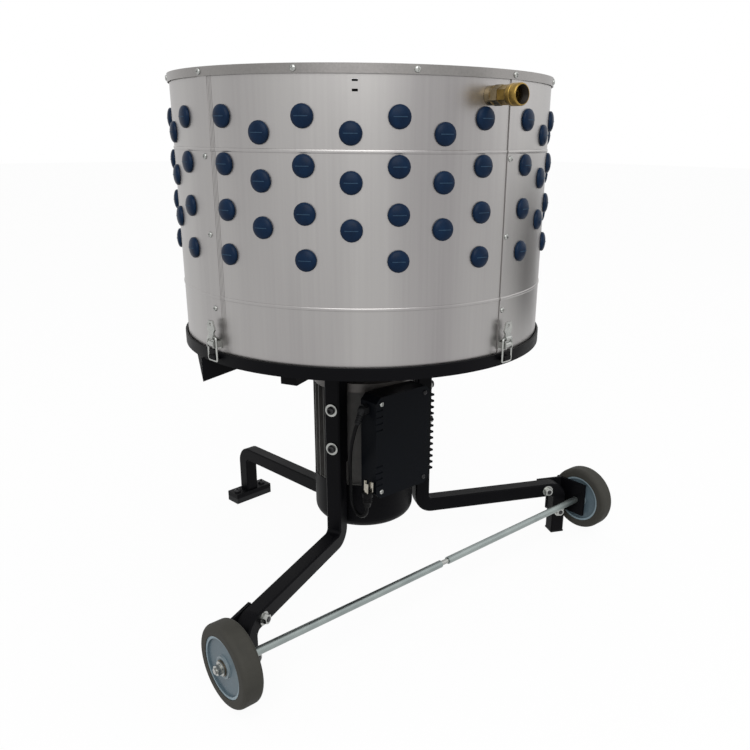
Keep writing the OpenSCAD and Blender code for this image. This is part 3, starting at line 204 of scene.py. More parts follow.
# Grain, cloud and depth are millimetres on the real thing
finishes = {
    # Cold-rolled stainless, brushed up and down: fine brushing streaks on a cool grey, with broad soft
    # vertical bands painted in as reflections
    "brushedStainless": {
        "colours": ("#939090", "#b0aeac"), "stretch": (1, 1, 0.015), "grain": 5, "cloud": 150,
        "cloudStretch": (1, 1, 0.12), "grainShare": 0.16, "roughness": (0.3, 0.4),
        "bump": 0.06, "depth": 0.03, "metallic": 1.0, "anisotropic": 0.3,
    },
    # Bent rim strip of the same sheet, a little darker and smoother
    "rolledRimStrip": {
        "colours": ("#7e7c7a", "#93908e"), "grain": 3, "cloud": 120, "roughness": (0.3, 0.4),
        "bump": 0.05, "depth": 0.03, "metallic": 1.0,
    },
    # Bright zinc plating: pale grey, with fine crystal mottling
    "brightZinc": {
        "colours": ("#8d8f8d", "#b8b9b5"), "grain": 1.2, "cloud": 14, "roughness": (0.22, 0.36),
        "bump": 0.08, "depth": 0.03, "metallic": 1.0,
    },
    # Dull zinc on drawn tube: smooth blue-grey
    "dullZinc": {
        "colours": ("#858d8c", "#9aa2a0"), "stretch": (0.05, 1, 1), "grain": 2, "cloud": 40,
        "grainShare": 0.2, "roughness": (0.36, 0.44), "bump": 0.02, "depth": 0.02, "metallic": 1.0,
    },
    # Moulded natural rubber, navy, with a dusty bloom
    "navyRubber": {
        "colours": ("#071a31", "#0d2641"), "grain": 1.5, "cloud": 12, "roughness": (0.32, 0.44),
        "bump": 0.12, "depth": 0.05, "ior": 1.52, "specular": 0.1,
    },
    # Scuffed rubber on the mould's parting line
    "scuffedRubber": {
        "colours": ("#22394f", "#334e66"), "grain": 0.8, "cloud": 6, "roughness": (0.6, 0.75),
        "bump": 0.1, "depth": 0.03, "ior": 1.52, "specular": 0.2,
    },
    # Powder coat over steel: satin black with fine orange peel
    "blackPowderCoat": {
        "colours": ("#060608", "#0b0b0e"), "grain": 1.6, "cloud": 60, "roughness": (0.4, 0.52),
        "bump": 0.15, "depth": 0.06, "ior": 1.5, "specular": 0.06,
    },
    # Machined brass, tarnished a little
    "machinedBrass": {
        "colours": ("#6f5a2c", "#a98c4c"), "grain": 0.9, "cloud": 9, "roughness": (0.24, 0.4),
        "bump": 0.1, "depth": 0.02, "metallic": 1.0,
    },
    # Cast brass nut with a dull grey bloom
    "dullBrass": {
        "colours": ("#84755a", "#a99a7c"), "grain": 0.9, "cloud": 8, "roughness": (0.34, 0.5),
        "bump": 0.12, "depth": 0.03, "metallic": 1.0,
    },
    # Inside of the hose thread: painted shade, dark brass standing for the shadow in the recess
    "paintedShadeThread": {
        "colours": ("#14100a", "#2a2114"), "grain": 0.8, "cloud": 6, "roughness": (0.4, 0.6),
        "bump": 0.1, "depth": 0.03, "ior": 1.5, "specular": 0.2,
    },
    # Solid grey tyre rubber, dull and slightly dusty
    "greyTyreRubber": {
        "colours": ("#383733", "#43423d"), "grain": 1.4, "cloud": 25, "roughness": (0.65, 0.8),
        "bump": 0.2, "depth": 0.06, "ior": 1.5, "specular": 0.2,
    },
    # Polypropylene hub, blue-grey, satin from the mould, with pale rings at the rim and the boss painted in
    # as highlights
    "hubPolypropylene": {
        "colours": ("#4d5d66", "#63747d"), "grain": 2, "cloud": 20, "roughness": (0.35, 0.48),
        "bump": 0.06, "depth": 0.04, "ior": 1.49, "specular": 0.3,
        "rings": [(41.5, 2.6, "#93a6af"), (14.6, 2.4, "#7f8c92")],  # radius, half width and colour of each painted highlight ring
        "highlightCore": 0.4,  # share of the half width at full colour
    },
    # Sintered bronze with open pores
    "sinteredBronze": {
        "colours": ("#5a5146", "#7e7362"), "grain": 0.6, "cloud": 6, "roughness": (0.35, 0.5),
        "bump": 0.2, "depth": 0.03, "metallic": 1.0,
    },
    # Die-cast motor housing with dark grey lacquer
    "castMotorHousing": {
        "colours": ("#454443", "#585755"), "grain": 1.2, "cloud": 25, "roughness": (0.42, 0.55),
        "bump": 0.2, "depth": 0.06, "ior": 1.5, "specular": 0.25,
    },
    # Machined cast flange, bare grey metal
    "machinedCasting": {
        "colours": ("#4a4846", "#5c5957"), "grain": 1, "cloud": 20, "roughness": (0.35, 0.5),
        "bump": 0.15, "depth": 0.04, "metallic": 0.8,
    },
    # Black anodised aluminium box
    "blackAnodised": {
        "colours": ("#06080c", "#0b0e13"), "grain": 0.9, "cloud": 40, "roughness": (0.42, 0.54),
        "bump": 0.12, "depth": 0.04, "ior": 1.5, "specular": 0.05,
    },
    # Soft PVC cord cover
    "cordPvc": {
        "colours": ("#050506", "#0a0a0b"), "grain": 1, "cloud": 12, "roughness": (0.4, 0.55),
        "bump": 0.1, "depth": 0.04, "ior": 1.53, "specular": 0.08,
    },
    # Nickel-plated plug pins
    "nickelPlate": {
        "colours": ("#8d897e", "#b5b1a6"), "grain": 0.6, "cloud": 5, "roughness": (0.15, 0.25),
        "bump": 0.05, "depth": 0.02, "metallic": 1.0,
    },
    # Moulded black nylon
    "blackNylon": {
        "colours": ("#0d0e10", "#151618"), "grain": 1.2, "cloud": 15, "roughness": (0.5, 0.65),
        "bump": 0.15, "depth": 0.04, "ior": 1.53, "specular": 0.2,
    },
    # Black-oxide bolts, a little worn
    "blackOxide": {
        "colours": ("#141416", "#232326"), "grain": 0.7, "cloud": 6, "roughness": (0.32, 0.46),
        "bump": 0.1, "depth": 0.03, "ior": 1.5, "specular": 0.35,
    },
    # Copper windings in varnish, inside the motor
    "varnishedWinding": {
        "colours": ("#6b3a1c", "#8a5127"), "stretch": (1, 1, 8), "grain": 1, "cloud": 20,
        "roughness": (0.35, 0.5), "bump": 0.3, "depth": 0.1, "ior": 1.5,
    },
}
materials = {name: surfaceMaterial({"name": name, **spec}) for name, spec in finishes.items()}
print("materials made:", len(materials))

# The CAD pieces that stay in view
nodeFinish = {
    "brushedStainless": ["drum_panel_1", "drum_panel_2", "drum_panel_3", "drum_panel_4", "feather_plate"],
    "rolledRimStrip": ["rim_channel"],
    "brightZinc": [
        "latch_bases", "latch_pins", "frame_washers", "axle_rod", "spray_ring", "drive_bolts", "motor_shaft",
        "shaft_bearings",
    ] + ["latch_%s_%d" % (part, i) for part in ("lever", "bail") for i in (1, 2, 3, 4)],
    "dullZinc": ["axle_sleeves"],
    "blackPowderCoat": [
        "base_pan", "feather_chute", "left_leg", "right_leg", "rear_leg", "left_bracket", "right_bracket",
        "fan_cowl", "latch_keepers",
    ],
    "machinedBrass": ["inlet_fitting"],
    "dullBrass": ["inlet_nut"],
    "greyTyreRubber": ["left_tyre", "right_tyre"],
    "hubPolypropylene": ["left_hub", "right_hub"],
    "sinteredBronze": ["left_bush", "right_bush"],
    "castMotorHousing": ["motor_body"],
    "machinedCasting": ["mounting_bell", "drive_hub"],
    "blackAnodised": ["control_box", "box_cover"],
    "nickelPlate": ["plug_prongs"],
    "blackNylon": ["spray_clips", "rubber_feet", "cooling_fan"],
    "varnishedWinding": ["motor_stator"],
}
for finish, names in nodeFinish.items():
    for name in names:
        slots = nodes[name].data.materials
        slots.clear()
        slots.append(materials[finish])


def metres(x, y, z):
    # A place about the drum axis in millimetres, as the frame has it
    return Vector((x * mm, y * mm + drumY, z * mm))


def facing(bearing, place):
    # Local z points out along the bearing, local y points up
    b = math.radians(bearing)
    out = Vector((math.sin(b), -math.cos(b), 0))
    side = Vector((math.cos(b), math.sin(b), 0))
    turn = Matrix((side, Vector((0, 0, 1)), out)).transposed().to_4x4()
    return Matrix.Translation(place) @ turn


def onBearing(bearing, radius, z):
    b = math.radians(bearing)
    return facing(bearing, metres(radius * math.sin(b), -radius * math.cos(b), z))


# Turned and cut pieces
turnedAngle, cutAngle = math.radians(40), math.radians(35)  # edges under these are shaded smooth
weldGap = 1e-6
cutRoom = 1  # how far a cutter stands past what it cuts
cosHex = math.cos(math.pi / 6)  # flats to corners of a hexagon


def turnedPiece(name, profile, steps, finish):
    # The profile, in millimetres of radius and height, is drawn by extruding one point, then spun about Z
    bpy.ops.object.select_all(action="DESELECT")
    bpy.ops.mesh.primitive_plane_add(size=mm)
    piece = bpy.context.object
    piece.name = name
    bpy.ops.object.mode_set(mode="EDIT")
    bpy.ops.mesh.select_all(action="SELECT")
    bpy.ops.mesh.merge(type="CENTER")
    points = [(r * mm, z * mm) for r, z in profile]
    bpy.ops.transform.translate(value=(points[0][0], 0, points[0][1]))
    for (r1, z1), (r2, z2) in zip(points, points[1:]):
        bpy.ops.mesh.extrude_vertices_move(TRANSFORM_OT_translate={"value": (r2 - r1, 0, z2 - z1)})
    bpy.ops.mesh.select_all(action="SELECT")
    bpy.ops.mesh.spin(steps=steps, angle=2 * math.pi, center=(0, 0, 0), axis=(0, 0, 1))
    bpy.ops.mesh.select_all(action="SELECT")
    bpy.ops.mesh.remove_doubles(threshold=weldGap)
    bpy.ops.mesh.normals_make_consistent(inside=False)
    bpy.ops.object.mode_set(mode="OBJECT")
    bpy.ops.object.shade_smooth_by_angle(angle=turnedAngle)
    piece.data.materials.append(materials[finish])
    return piece


def prism(sides, radius, low, high):
    bpy.ops.object.select_all(action="DESELECT")
    bpy.ops.mesh.primitive_cylinder_add(
        vertices=sides, radius=radius * mm, depth=(high - low) * mm, location=(0, 0, (low + high) / 2 * mm),
    )
    bpy.ops.object.transform_apply(location=True, rotation=True, scale=True)
    return bpy.context.object


def slab(width, depth, low, high):
    bpy.ops.object.select_all(action="DESELECT")
    bpy.ops.mesh.primitive_cube_add(size=1, location=(0, 0, (low + high) / 2 * mm))
    bpy.ops.transform.resize(value=(width * mm, depth * mm, (high - low) * mm))
    bpy.ops.object.transform_apply(location=True, rotation=True, scale=True)
    return bpy.context.object


def combine(piece, cutter, operation):
    change = piece.modifiers.new("cut", "BOOLEAN")
    change.operation = operation
    change.object = cutter
    change.solver = "EXACT"
    bpy.ops.object.select_all(action="DESELECT")
    piece.select_set(True)
    bpy.context.view_layer.objects.active = piece
    bpy.ops.object.modifier_apply(modifier=change.name)
    bpy.data.objects.remove(cutter)
    bpy.ops.object.shade_smooth_by_angle(angle=cutAngle)
    return piece


def joined(pieces, name):
    bpy.ops.object.select_all(action="DESELECT")
    for piece in pieces:
        piece.select_set(True)
    bpy.context.view_layer.objects.active = pieces[0]
    bpy.ops.object.join()
    pieces[0].name = name
    return pieces[0]


def placeCopies(piece, places):
    # A copy of the piece, with its own mesh, at every place
    copies = []
    for place in places:
        copy = piece.copy()
        copy.data = piece.data.copy()
        copy.data.transform(place)
        bpy.context.collection.objects.link(copy)
        copies.append(copy)
    bpy.data.objects.remove(piece)
    return copies


def standsFor(piece, node, body):
    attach(piece, body)
    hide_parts(node)


# Power cord, on the solid's own route
cordRoute = {
    "points": [
        (-92.64, -96.5, 301.25), (-96.5, -95.7, 290.4), (-98.3, -93.6, 279.4), (-98.4, -90.4, 268.4),
        (-97, -86.5, 257.1), (-94.7, -82.2, 245.6), (-91.7, -77.6, 233.7), (-88.4, -73.3, 221.3),
        (-85.2, -69.4, 208.5), (-82.5, -66.2, 195), (-80.6, -64.1, 180.9), (-79.9, -63.3, 166),
        (-80.2, -66.5, 154), (-81.2, -75.2, 145.2), (-82.5, -87.2, 142), (-83.7, -99.1, 145.2),
        (-84.7, -107.8, 154), (-85, -111, 166),
    ],
    "diameter": 6.0,
    "length": 0.218,  # metres
    "steps": 6, "roundness": 4,
}
plug = {
    "tilt": 2, "length": 26, "steps": 24, "collar": 6.5, "collarEdge": 1, "collarLength": 7,
    "radius": 9, "edge": 1.2, "headStart": 18.5,
    "grips": 3, "gripStart": 8.5, "gripStep": 3, "gripWidth": 1.8, "gripFoot": 1.4, "gripTop": 0.6,
}
gland = {
    "place": (-74.5, -96.5, 323), "hexFlats": 16, "hexLength": 8,
    "ball": 6.8, "ballRows": 10, "ballSteps": 24,
    "turn": 205, "length": 24, "root": 5.5, "tip": 4.5, "tipEdge": 0.8, "steps": 20, "start": 2,
    "ribs": 5, "ribStart": 6, "ribEnd": 0.6, "ribDraft": 0.1, "grooveStart": 0.7, "grooveDeep": 0.9,
}


def addCord(spec):
    places = [metres(*point) for point in spec["points"]]
    bpy.ops.object.select_all(action="DESELECT")
    bpy.ops.curve.primitive_bezier_curve_add()
    cord = bpy.context.object
    cord.name = "powerCord"
    spline = cord.data.splines[0]
    spline.bezier_points.add(len(places) - len(spline.bezier_points))
    for point, place in zip(spline.bezier_points, places):
        point.co = place
        point.handle_left_type = point.handle_right_type = "AUTO"
    cord.data.resolution_u = spec["steps"]
    cord.data.bevel_depth = spec["diameter"] / 2 * mm
    cord.data.bevel_resolution = spec["roundness"]
    cord.data.use_fill_caps = True
    cord.data.materials.append(materials["cordPvc"])
    standsFor(cord, "power_cord", "machine")
    plugBody = addPlug(plug, places[-1])


def addPlug(spec, place):
    # Collar, waist with grip rings and a rounded head
    collar, edge, wide = spec["collar"], spec["collarEdge"], spec["radius"]
    profile = [(0, 0), (collar - 2 * edge, 0), (collar - edge, edge), (collar, spec["collarLength"])]
    for i in range(spec["grips"]):
        z = spec["gripStart"] + spec["gripStep"] * i
        profile.append((wide - spec["gripFoot"], z))
        profile.append((wide - spec["gripTop"], z + spec["gripWidth"] / 2))
        profile.append((wide - spec["gripFoot"], z + spec["gripWidth"]))
    profile += [(wide, spec["headStart"]), (wide, spec["length"] - spec["edge"])]
    profile += [(wide - spec["edge"], spec["length"]), (0, spec["length"])]
    body = turnedPiece("powerPlug", profile, spec["steps"], "cordPvc")
    body.data.transform(Matrix.Translation(place) @ Matrix.Rotation(math.radians(spec["tilt"]), 4, "Y"))
    standsFor(body, "power_plug", "machine")
    return body


def addGland(spec):
    # Hexagon on the box, a ball elbow, then a ribbed taper down along the cord
    base = prism(6, spec["hexFlats"] / 2 / cosHex, 0, spec["hexLength"])
    base.data.materials.append(materials["blackNylon"])
    base.data.transform(facing(-90, metres(*spec["place"])))
    x, y, z = spec["place"]
    elbow = Matrix.Translation(metres(x - spec["hexLength"], y, z))
    angles = [math.pi * i / spec["ballRows"] for i in range(spec["ballRows"] + 1)]
    profile = [(spec["ball"] * math.sin(a), -spec["ball"] * math.cos(a)) for a in angles]
    ball = turnedPiece("glandBall", profile, spec["ballSteps"], "blackNylon")
    ball.data.transform(elbow)
    profile = [(0, spec["start"]), (spec["root"], spec["start"])]
    step = (spec["length"] - spec["ribStart"]) / spec["ribs"]
    for i in range(spec["ribs"]):
        radius = spec["root"] + (spec["tip"] - spec["root"]) * i / spec["ribs"]
        low = spec["ribStart"] + step * i
        profile.append((radius, low))
        profile.append((radius - spec["ribDraft"], low + spec["ribEnd"] * step))
        profile.append((radius - spec["grooveDeep"], low + spec["grooveStart"] * step))
    profile += [(spec["tip"] - spec["tipEdge"], spec["length"]), (0, spec["length"])]
    taper = turnedPiece("glandTaper", profile, spec["steps"], "blackNylon")
    taper.data.transform(elbow @ Matrix.Rotation(math.radians(spec["turn"]), 4, "Y"))
    standsFor(joined([base, ball, taper], "cordGland"), "cord_gland", "machine")


addCord(cordRoute)
addGland(gland)
print("cord laid")

# Plucking fingers: domed head outside the sheet, tapering ribbed finger inside
finger = {
    "length": 68, "steps": 20, "headRadius": 14, "headHeight": 7, "headEdge": 0.3,
    "headAngles": (0, 22, 42, 60, 76, 90), "headGap": 0.15,
    "neckRadius": 10, "rootRadius": 13, "tipRadius": 7.5, "tipFlat": 3.5, "tipRound": 4,
    "ribs": 5, "ribOut": 1.1, "ribSpan": 0.9, "ribFoot": 0.25, "ribTop": 0.55,
    "ridgeLength": 17, "ridgeWidth": 0.9, "ridgeOut": 0.35, "ridgeIn": 0.6, "ridgeCuts": 3,
}


def headHeightAt(spec, share):
    # Height of the dome where its curve has this share of its rise
    return spec["headHeight"] * (spec["headEdge"] + (1 - spec["headEdge"]) * share)


def fingerPiece(spec, grip):
    wide, neck, root, tip = (spec[k] for k in ("headRadius", "neckRadius", "rootRadius", "tipRadius"))
    end = -grip - spec["length"]
    points = []
    for degrees in spec["headAngles"]:
        a = math.radians(degrees)
        points.append((wide * math.sin(a), headHeightAt(spec, math.cos(a))))
    points += [(wide, spec["headGap"]), (neck, spec["headGap"]), (neck, -grip), (root, -grip)]
    for i in range(spec["ribs"]):
        for k, out in ((spec["ribFoot"], 0), (spec["ribTop"], spec["ribOut"])):
            u = (i + k) / spec["ribs"] * spec["ribSpan"]
            points.append((root + (tip - root) * u - spec["ribOut"] + out, -grip - spec["length"] * u))
    points += [(tip, end + spec["tipRound"]), (spec["tipFlat"], end), (0, end)]
    body = turnedPiece("finger", points, spec["steps"], "navyRubber")
    # Parting line of the mould, a thin raised strip over the dome
    ridge = slab(spec["ridgeLength"], spec["ridgeWidth"], 0, 1)
    bpy.ops.object.mode_set(mode="EDIT")
    bpy.ops.mesh.select_all(action="SELECT")
    bpy.ops.mesh.subdivide(number_cuts=spec["ridgeCuts"])
    bpy.ops.object.mode_set(mode="OBJECT")
    for vertex in ridge.data.vertices:
        off = vertex.co.x / mm / wide
        dome = headHeightAt(spec, math.sqrt(max(0, 1 - off ** 2)))
        above = vertex.co.z > mm / 2
        vertex.co.z = (dome + (spec["ridgeOut"] if above else -spec["ridgeIn"])) * mm
    ridge.data.materials.append(materials["scuffedRubber"])
    return joined([body, ridge], "finger")


panelAngle = 90  # degrees of one of the four drum panels
drumGrid = {
    "turn": 2.9, "wallRadius": 275, "firstZ": 737.7, "rowStep": 56.1, "rows": 4, "columns": 7,
    "columnStart": 9, "columnStep": 12, "grip": 1.7,
}
plateGrid = {
    "z": 478, "grip": 5.15, "rings": [(80, 6), (138, 8), (194, 12)],  # radius and fingers of each ring
}


def drumFingerPlaces(grid, panels):
    # Every other column has one finger less and starts a third of a step lower
    places = []
    for panel in panels:
        for j in range(grid["columns"]):
            bearing = grid["turn"] + panelAngle * panel + grid["columnStart"] + grid["columnStep"] * j
            for i in range(grid["rows"] - j % 2):
                z = grid["firstZ"] - grid["rowStep"] * (i + (j % 2) / 3)
                places.append(onBearing(bearing, grid["wallRadius"], z))
    return places


def plateFingerPlaces(grid):
    places = []
    for radius, count in grid["rings"]:
        for i in range(count):
            a = 2 * math.pi * (i + 0.5) / count
            middle = metres(radius * math.cos(a), radius * math.sin(a), grid["z"])
            places.append(Matrix.Translation(middle) @ Matrix.Rotation(math.pi, 4, "X"))
    return places


for number, panels in ((1, (0, 1)), (2, (2, 3))):
    heads = placeCopies(fingerPiece(finger, drumGrid["grip"]), drumFingerPlaces(drumGrid, panels))
    standsFor(joined(heads, "drumFingers%d" % number), "drum_fingers_%d" % number, "machine")
upright = placeCopies(fingerPiece(finger, plateGrid["grip"]), plateFingerPlaces(plateGrid))
standsFor(joined(upright, "plateFingers"), "plate_fingers", "rotor")
print("fingers placed")

# Pan-head screws with a cross recess, in the rim, the seams and the box's cover
screw = {
    "radius": 2.4, "headRadius": 3.9, "headHeight": 2.3, "headEdge": 0.25, "headAngles": (8, 30, 52, 74, 90),
    "steps": 20, "length": 9, "boxLength": 21, "recess": (0.9, 5, 1.5),  # its width, length and depth
    "start": 4.1, "step": 30, "rimRadius": 277.8, "rimZ": 789.4,
    "seamRadius": 276.3, "seamZ": (690, 591.5, 493),
    "boxX": (-63.5, 26.5), "boxY": -120.5, "boxZ": (189, 334),
}


def screwPiece(spec, length, finish):
    thin, wide, high = spec["radius"], spec["headRadius"], spec["headHeight"]
    profile = [(0, -length), (thin, -length), (thin, 0), (wide, 0)]
    for degrees in spec["headAngles"]:
        a = math.radians(degrees)
        rise = spec["headEdge"] + (1 - spec["headEdge"]) * math.sin(a)
        profile.append((wide * math.cos(a), high * rise))
    piece = turnedPiece("panScrew", profile, spec["steps"], finish)
    across, along, deep = spec["recess"]
    for width, depth in ((across, along), (along, across)):
        combine(piece, slab(width, depth, high - deep, high + cutRoom), "DIFFERENCE")
    return piece


def addScrews(spec):
    places = []
    for i in range(360 // spec["step"]):
        places.append(onBearing(spec["start"] + spec["step"] * i, spec["rimRadius"], spec["rimZ"]))
    for i in range(360 // panelAngle):
        for z in spec["seamZ"]:
            places.append(onBearing(spec["start"] + panelAngle * i, spec["seamRadius"], z))
    pieces = placeCopies(screwPiece(spec, spec["length"], "brightZinc"), places)
    # The box's two left screws shine, the right ones are blackened
    for x, finish in zip(spec["boxX"], ("brightZinc", "blackOxide")):
        boxPlaces = [facing(0, metres(x, spec["boxY"], z)) for z in spec["boxZ"]]
        pieces += placeCopies(screwPiece(spec, spec["boxLength"], finish), boxPlaces)
    standsFor(joined(pieces, "panelScrews"), "panel_screws", "machine")


addScrews(screw)

# Frame bolts with a hexagon socket, and chamfered nuts
bolt = {
    "radius": 4, "tipEdge": 0.6, "headRadius": 6.5, "headHeight": 5, "steps": 24,
    "socket": 5.8, "socketDeep": 3,
    "headEdge": [(0, 0), (0, 2), (0.5, 3.4), (1.4, 4.6), (2.4, 5)],  # in from the head's radius, and height
    "legBearings": (-64.6, 64.6, 184.5), "legRadius": 118.3, "legZ": (315, 251), "legLength": 37.5,
    "runBolt": (351, 90), "postBolt": (378, 45), "bracketFace": 17.2, "bracketLength": 39,
    "footRadius": 347, "footGap": 60, "footTop": 20, "footLength": 17,
}
nut = {
    "flats": 13, "thick": 6.5, "bore": 4.2, "edge": 1, "cornerRoom": 0.2, "steps": 36, "boreSteps": 20,
    "legRadius": 80.3, "bracketFace": -20.8, "axleBack": 8.5,
}


def boltPiece(spec, length):
    thin, wide, high, edge = (spec[k] for k in ("radius", "headRadius", "headHeight", "tipEdge"))
    profile = [(0, -length), (thin - edge, -length), (thin, edge - length), (thin, 0)]
    profile += [(wide - inward, z) for inward, z in spec["headEdge"]] + [(0, high)]
    piece = turnedPiece("frameBolt", profile, spec["steps"], "blackOxide")
    socket = prism(6, spec["socket"] / 2 / cosHex, high - spec["socketDeep"], high + cutRoom)
    return combine(piece, socket, "DIFFERENCE")


def nutPiece(spec):
    flat, thick, edge = spec["flats"] / 2, spec["thick"], spec["edge"]
    corner = flat / cosHex
    wide = corner + spec["cornerRoom"]
    profile = [(0, 0), (flat, 0), (wide, edge), (wide, thick - edge), (flat, thick), (0, thick)]
    piece = turnedPiece("hexNut", profile, spec["steps"], "brightZinc")
    combine(piece, prism(6, corner, -cutRoom, thick + cutRoom), "INTERSECT")
    return combine(piece, prism(spec["boreSteps"], spec["bore"], -cutRoom, thick + cutRoom), "DIFFERENCE")


def bracketPlaces(spec, off):
    # Bolts through the brackets lie across their leg, with the heads towards the rear
    places = []
    for side in (-1, 1):
        bearing = side * spec["legBearings"][1]
        across = bearing + side * 90
        b, h = math.radians(bearing), math.radians(across)
        for radius, z in (spec["runBolt"], spec["postBolt"]):
            x = radius * math.sin(b) + off * math.sin(h)
            y = -radius * math.cos(b) - off * math.cos(h)
            places.append(facing(across, metres(x, y, z)))
    return places


def footPlaces(spec):
    b = math.radians(spec["legBearings"][2])
    places = []
    for off in (-spec["footGap"] / 2, spec["footGap"] / 2):
        x = spec["footRadius"] * math.sin(b) + off * math.cos(b)
        y = -spec["footRadius"] * math.cos(b) + off * math.sin(b)
        places.append(Matrix.Translation(metres(x, y, spec["footTop"])))
    return places


def addBolts(spec, nutSpec):
    legs = [(b, z) for b in spec["legBearings"] for z in spec["legZ"]]
    legPlaces = [onBearing(b, spec["legRadius"], z) for b, z in legs]
    pieces = placeCopies(boltPiece(spec, spec["legLength"]), legPlaces)
    pieces += placeCopies(boltPiece(spec, spec["bracketLength"]), bracketPlaces(spec, spec["bracketFace"]))
    pieces += placeCopies(boltPiece(spec, spec["footLength"]), footPlaces(spec))
    standsFor(joined(pieces, "frameBolts"), "frame_bolts", "machine")
    places = [onBearing(b, nutSpec["legRadius"], z) for b, z in legs]
    places += bracketPlaces(spec, nutSpec["bracketFace"])
    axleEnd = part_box("axle_rod")[1][0] - nutSpec["axleBack"] * mm
    for bearing, x in ((-90, -axleEnd), (90, axleEnd)):
        places.append(facing(bearing, Vector((x, axleY, axleZ))))
    standsFor(joined(placeCopies(nutPiece(nutSpec), places), "frameNuts"), "frame_nuts", "machine")


addBolts(bolt, nut)
print("fasteners placed")

# Swivel collar of the hose inlet, turned with rounded edges, a knurl groove and the hose thread
collar = {
    "bearing": -4.6, "z": 764, "start": 309.8, "steps": 48,
    "radius": 13, "lip": 4, "pocket": 3.2, "depth": 12,
    "neck": 7.05, "pocketRadius": 9.3, "bore": 10.5, "pitch": 1.8, "threadDeep": 0.7, "mouthEdge": 0.6,
    "paintedShadeReach": 0.55,  # how far past the bore the painted shade reaches
    # In from the outer radius, and height: the rounded back with its groove, then the mouth from its end
    "back": [(2.4, 0), (0.8, 0.7), (0.1, 2.2), (0, 4), (0, 8), (0.5, 8.4), (0.5, 9.2), (0, 9.6)],
    "mouth": [(0, -2), (0.7, -0.5), (1.4, 0)],
}


def addCollar(spec):
    wide, neck, bore, lip, edge = (spec[k] for k in ("radius", "neck", "bore", "lip", "mouthEdge"))
    shelf = lip + spec["pocket"]
    end = shelf + spec["depth"]
    profile = [(neck, 0)] + [(wide - inward, z) for inward, z in spec["back"]]
    profile += [(wide - inward, end + z) for inward, z in spec["mouth"]] + [(bore + edge, end)]
    deep = end
    while deep - spec["pitch"] > shelf:
        profile += [(bore, deep - edge), (bore + spec["threadDeep"], deep - spec["pitch"] / 2 - edge)]
        deep -= spec["pitch"]
    profile += [(bore, shelf), (spec["pocketRadius"], shelf), (spec["pocketRadius"], lip)]
    profile += [(neck, lip), (neck, 0)]
    piece = turnedPiece("swivelCollar", profile, spec["steps"], "machinedBrass")
    # Faces inside the thread take the dark material: painted shade where the recess falls in shadow
    piece.data.materials.append(materials["paintedShadeThread"])
    for face in piece.data.polygons:
        inside = face.center.xy.length < (bore + spec["paintedShadeReach"]) * mm and face.center.z > lip * mm
        face.material_index = 1 if inside else 0
    piece.data.transform(onBearing(spec["bearing"], spec["start"], spec["z"]))
    standsFor(piece, "hose_swivel", "swivel")


addCollar(collar)
print("collar turned")

# Studio: pale floor, plain light, and a white surround that metal reflects
studio = {
    "floorSize": 40,
    "floorDrop": 0.0002,  # under the feet, so that the two don't flicker
    "floorRoughness": 0.9,
    "floorGlow": 0.94,  # share of the floor's white that needs no light
    "floorBounce": 0.4,  # grey of the floor for the light that it throws back
    "aim": (0, 0, 0.5),
    "key": {"place": (-2.2, -2.6, 3.2), "size": 3.6, "power": 110},
    "fill": {"place": (2.8, -1.8, 2.2), "size": 3.6, "power": 18},
    # Dark card beside the drum, for the metal to mirror
    "card": {"place": (2.2, -0.7, 0.2), "size": (1.6, 0.64), "colour": "#2a2a2a"},
    "ambient": 0.6,
}


def addLight(name, spec, aim):
    bpy.ops.object.light_add(type="AREA", location=spec["place"])
    light = bpy.context.object
    light.name = name
    light.data.energy = spec["power"]
    light.data.size = spec["size"]
    light.rotation_euler = (Vector(aim) - Vector(spec["place"])).to_track_quat("-Z", "Y").to_euler()


def seenDirectly(tree):
    # 1 for what the camera, a mirror or clear glass sees
    path = addNode(tree, "ShaderNodeLightPath")
    first = addNode(
        tree, "ShaderNodeMath", settings={"operation": "MAXIMUM"},
        links={0: path.outputs["Is Camera Ray"], 1: path.outputs["Is Glossy Ray"]},
    )
    return addNode(
        tree, "ShaderNodeMath", settings={"operation": "MAXIMUM"},
        links={0: first.outputs["Value"], 1: path.outputs["Is Transmission Ray"]},
    )


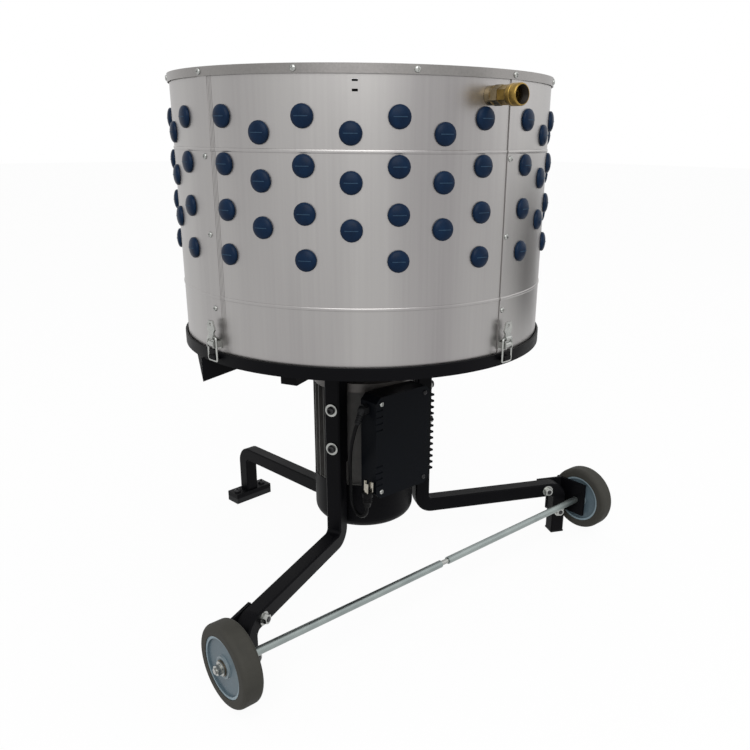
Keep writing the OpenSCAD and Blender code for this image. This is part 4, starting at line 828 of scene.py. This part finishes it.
def addCard(spec):
    # Seen only in the drum's right side
    bpy.ops.object.select_all(action="DESELECT")
    bpy.ops.mesh.primitive_plane_add(size=1, location=spec["place"], rotation=(0, -math.pi / 2, 0))
    card = bpy.context.object
    card.name = "studioCard"
    card.scale = (spec["size"][1], spec["size"][0], 1)
    card.visible_camera = card.visible_shadow = False
    felt = bpy.data.materials.new("studioFelt")
    felt.use_nodes = True
    shader = felt.node_tree.nodes["Principled BSDF"]
    shader.inputs["Base Color"].default_value = linearColour(spec["colour"])
    shader.inputs["Roughness"].default_value = 1.0
    card.data.materials.append(felt)


def addSurround(spec):
    world = bpy.data.worlds.new("paleStudio")
    world.use_nodes = True
    bpy.context.scene.world = world
    tree = world.node_tree
    seen = seenDirectly(tree)
    strength = addNode(
        tree, "ShaderNodeMapRange", values={"To Min": spec["ambient"], "To Max": 1.0},
        links={"Value": seen.outputs["Value"]},
    )
    tree.links.new(strength.outputs["Result"], tree.nodes["Background"].inputs["Strength"])
    tree.nodes["Background"].inputs["Color"].default_value = white


def addFloor(spec):
    bpy.ops.object.select_all(action="DESELECT")
    bpy.ops.mesh.primitive_plane_add(size=spec["floorSize"], location=(0, 0, -spec["floorDrop"]))
    floor = bpy.context.object
    floor.name = "studioFloor"
    pale = bpy.data.materials.new("paleFloor")
    pale.use_nodes = True
    tree = pale.node_tree
    shader = tree.nodes["Principled BSDF"]
    shader.inputs["Roughness"].default_value = spec["floorRoughness"]
    glow = addNode(tree, "ShaderNodeEmission", values={"Color": white, "Strength": 1.0})
    seen = seenDirectly(tree)
    grey = (*[spec["floorBounce"]] * 3, 1)
    tone = addNode(
        tree, "ShaderNodeMix", settings={"data_type": "RGBA"}, values={colourA: grey, colourB: white},
        links={0: seen.outputs["Value"]},
    )
    tree.links.new(tone.outputs[colourOut], shader.inputs["Base Color"])
    share = addNode(
        tree, "ShaderNodeMath", settings={"operation": "MULTIPLY"}, values={1: spec["floorGlow"]},
        links={0: seen.outputs["Value"]},
    )
    mix = addNode(
        tree, "ShaderNodeMixShader",
        links={0: share.outputs["Value"], 1: shader.outputs["BSDF"], 2: glow.outputs["Emission"]},
    )
    tree.links.new(mix.outputs["Shader"], tree.nodes["Material Output"].inputs["Surface"])
    floor.data.materials.append(pale)


def buildStudio(spec):
    for name in ("key", "fill"):
        addLight(name, spec[name], spec["aim"])
    addSurround(spec)
    addFloor(spec)
    addCard(spec["card"])


buildStudio(studio)
print("studio lit")
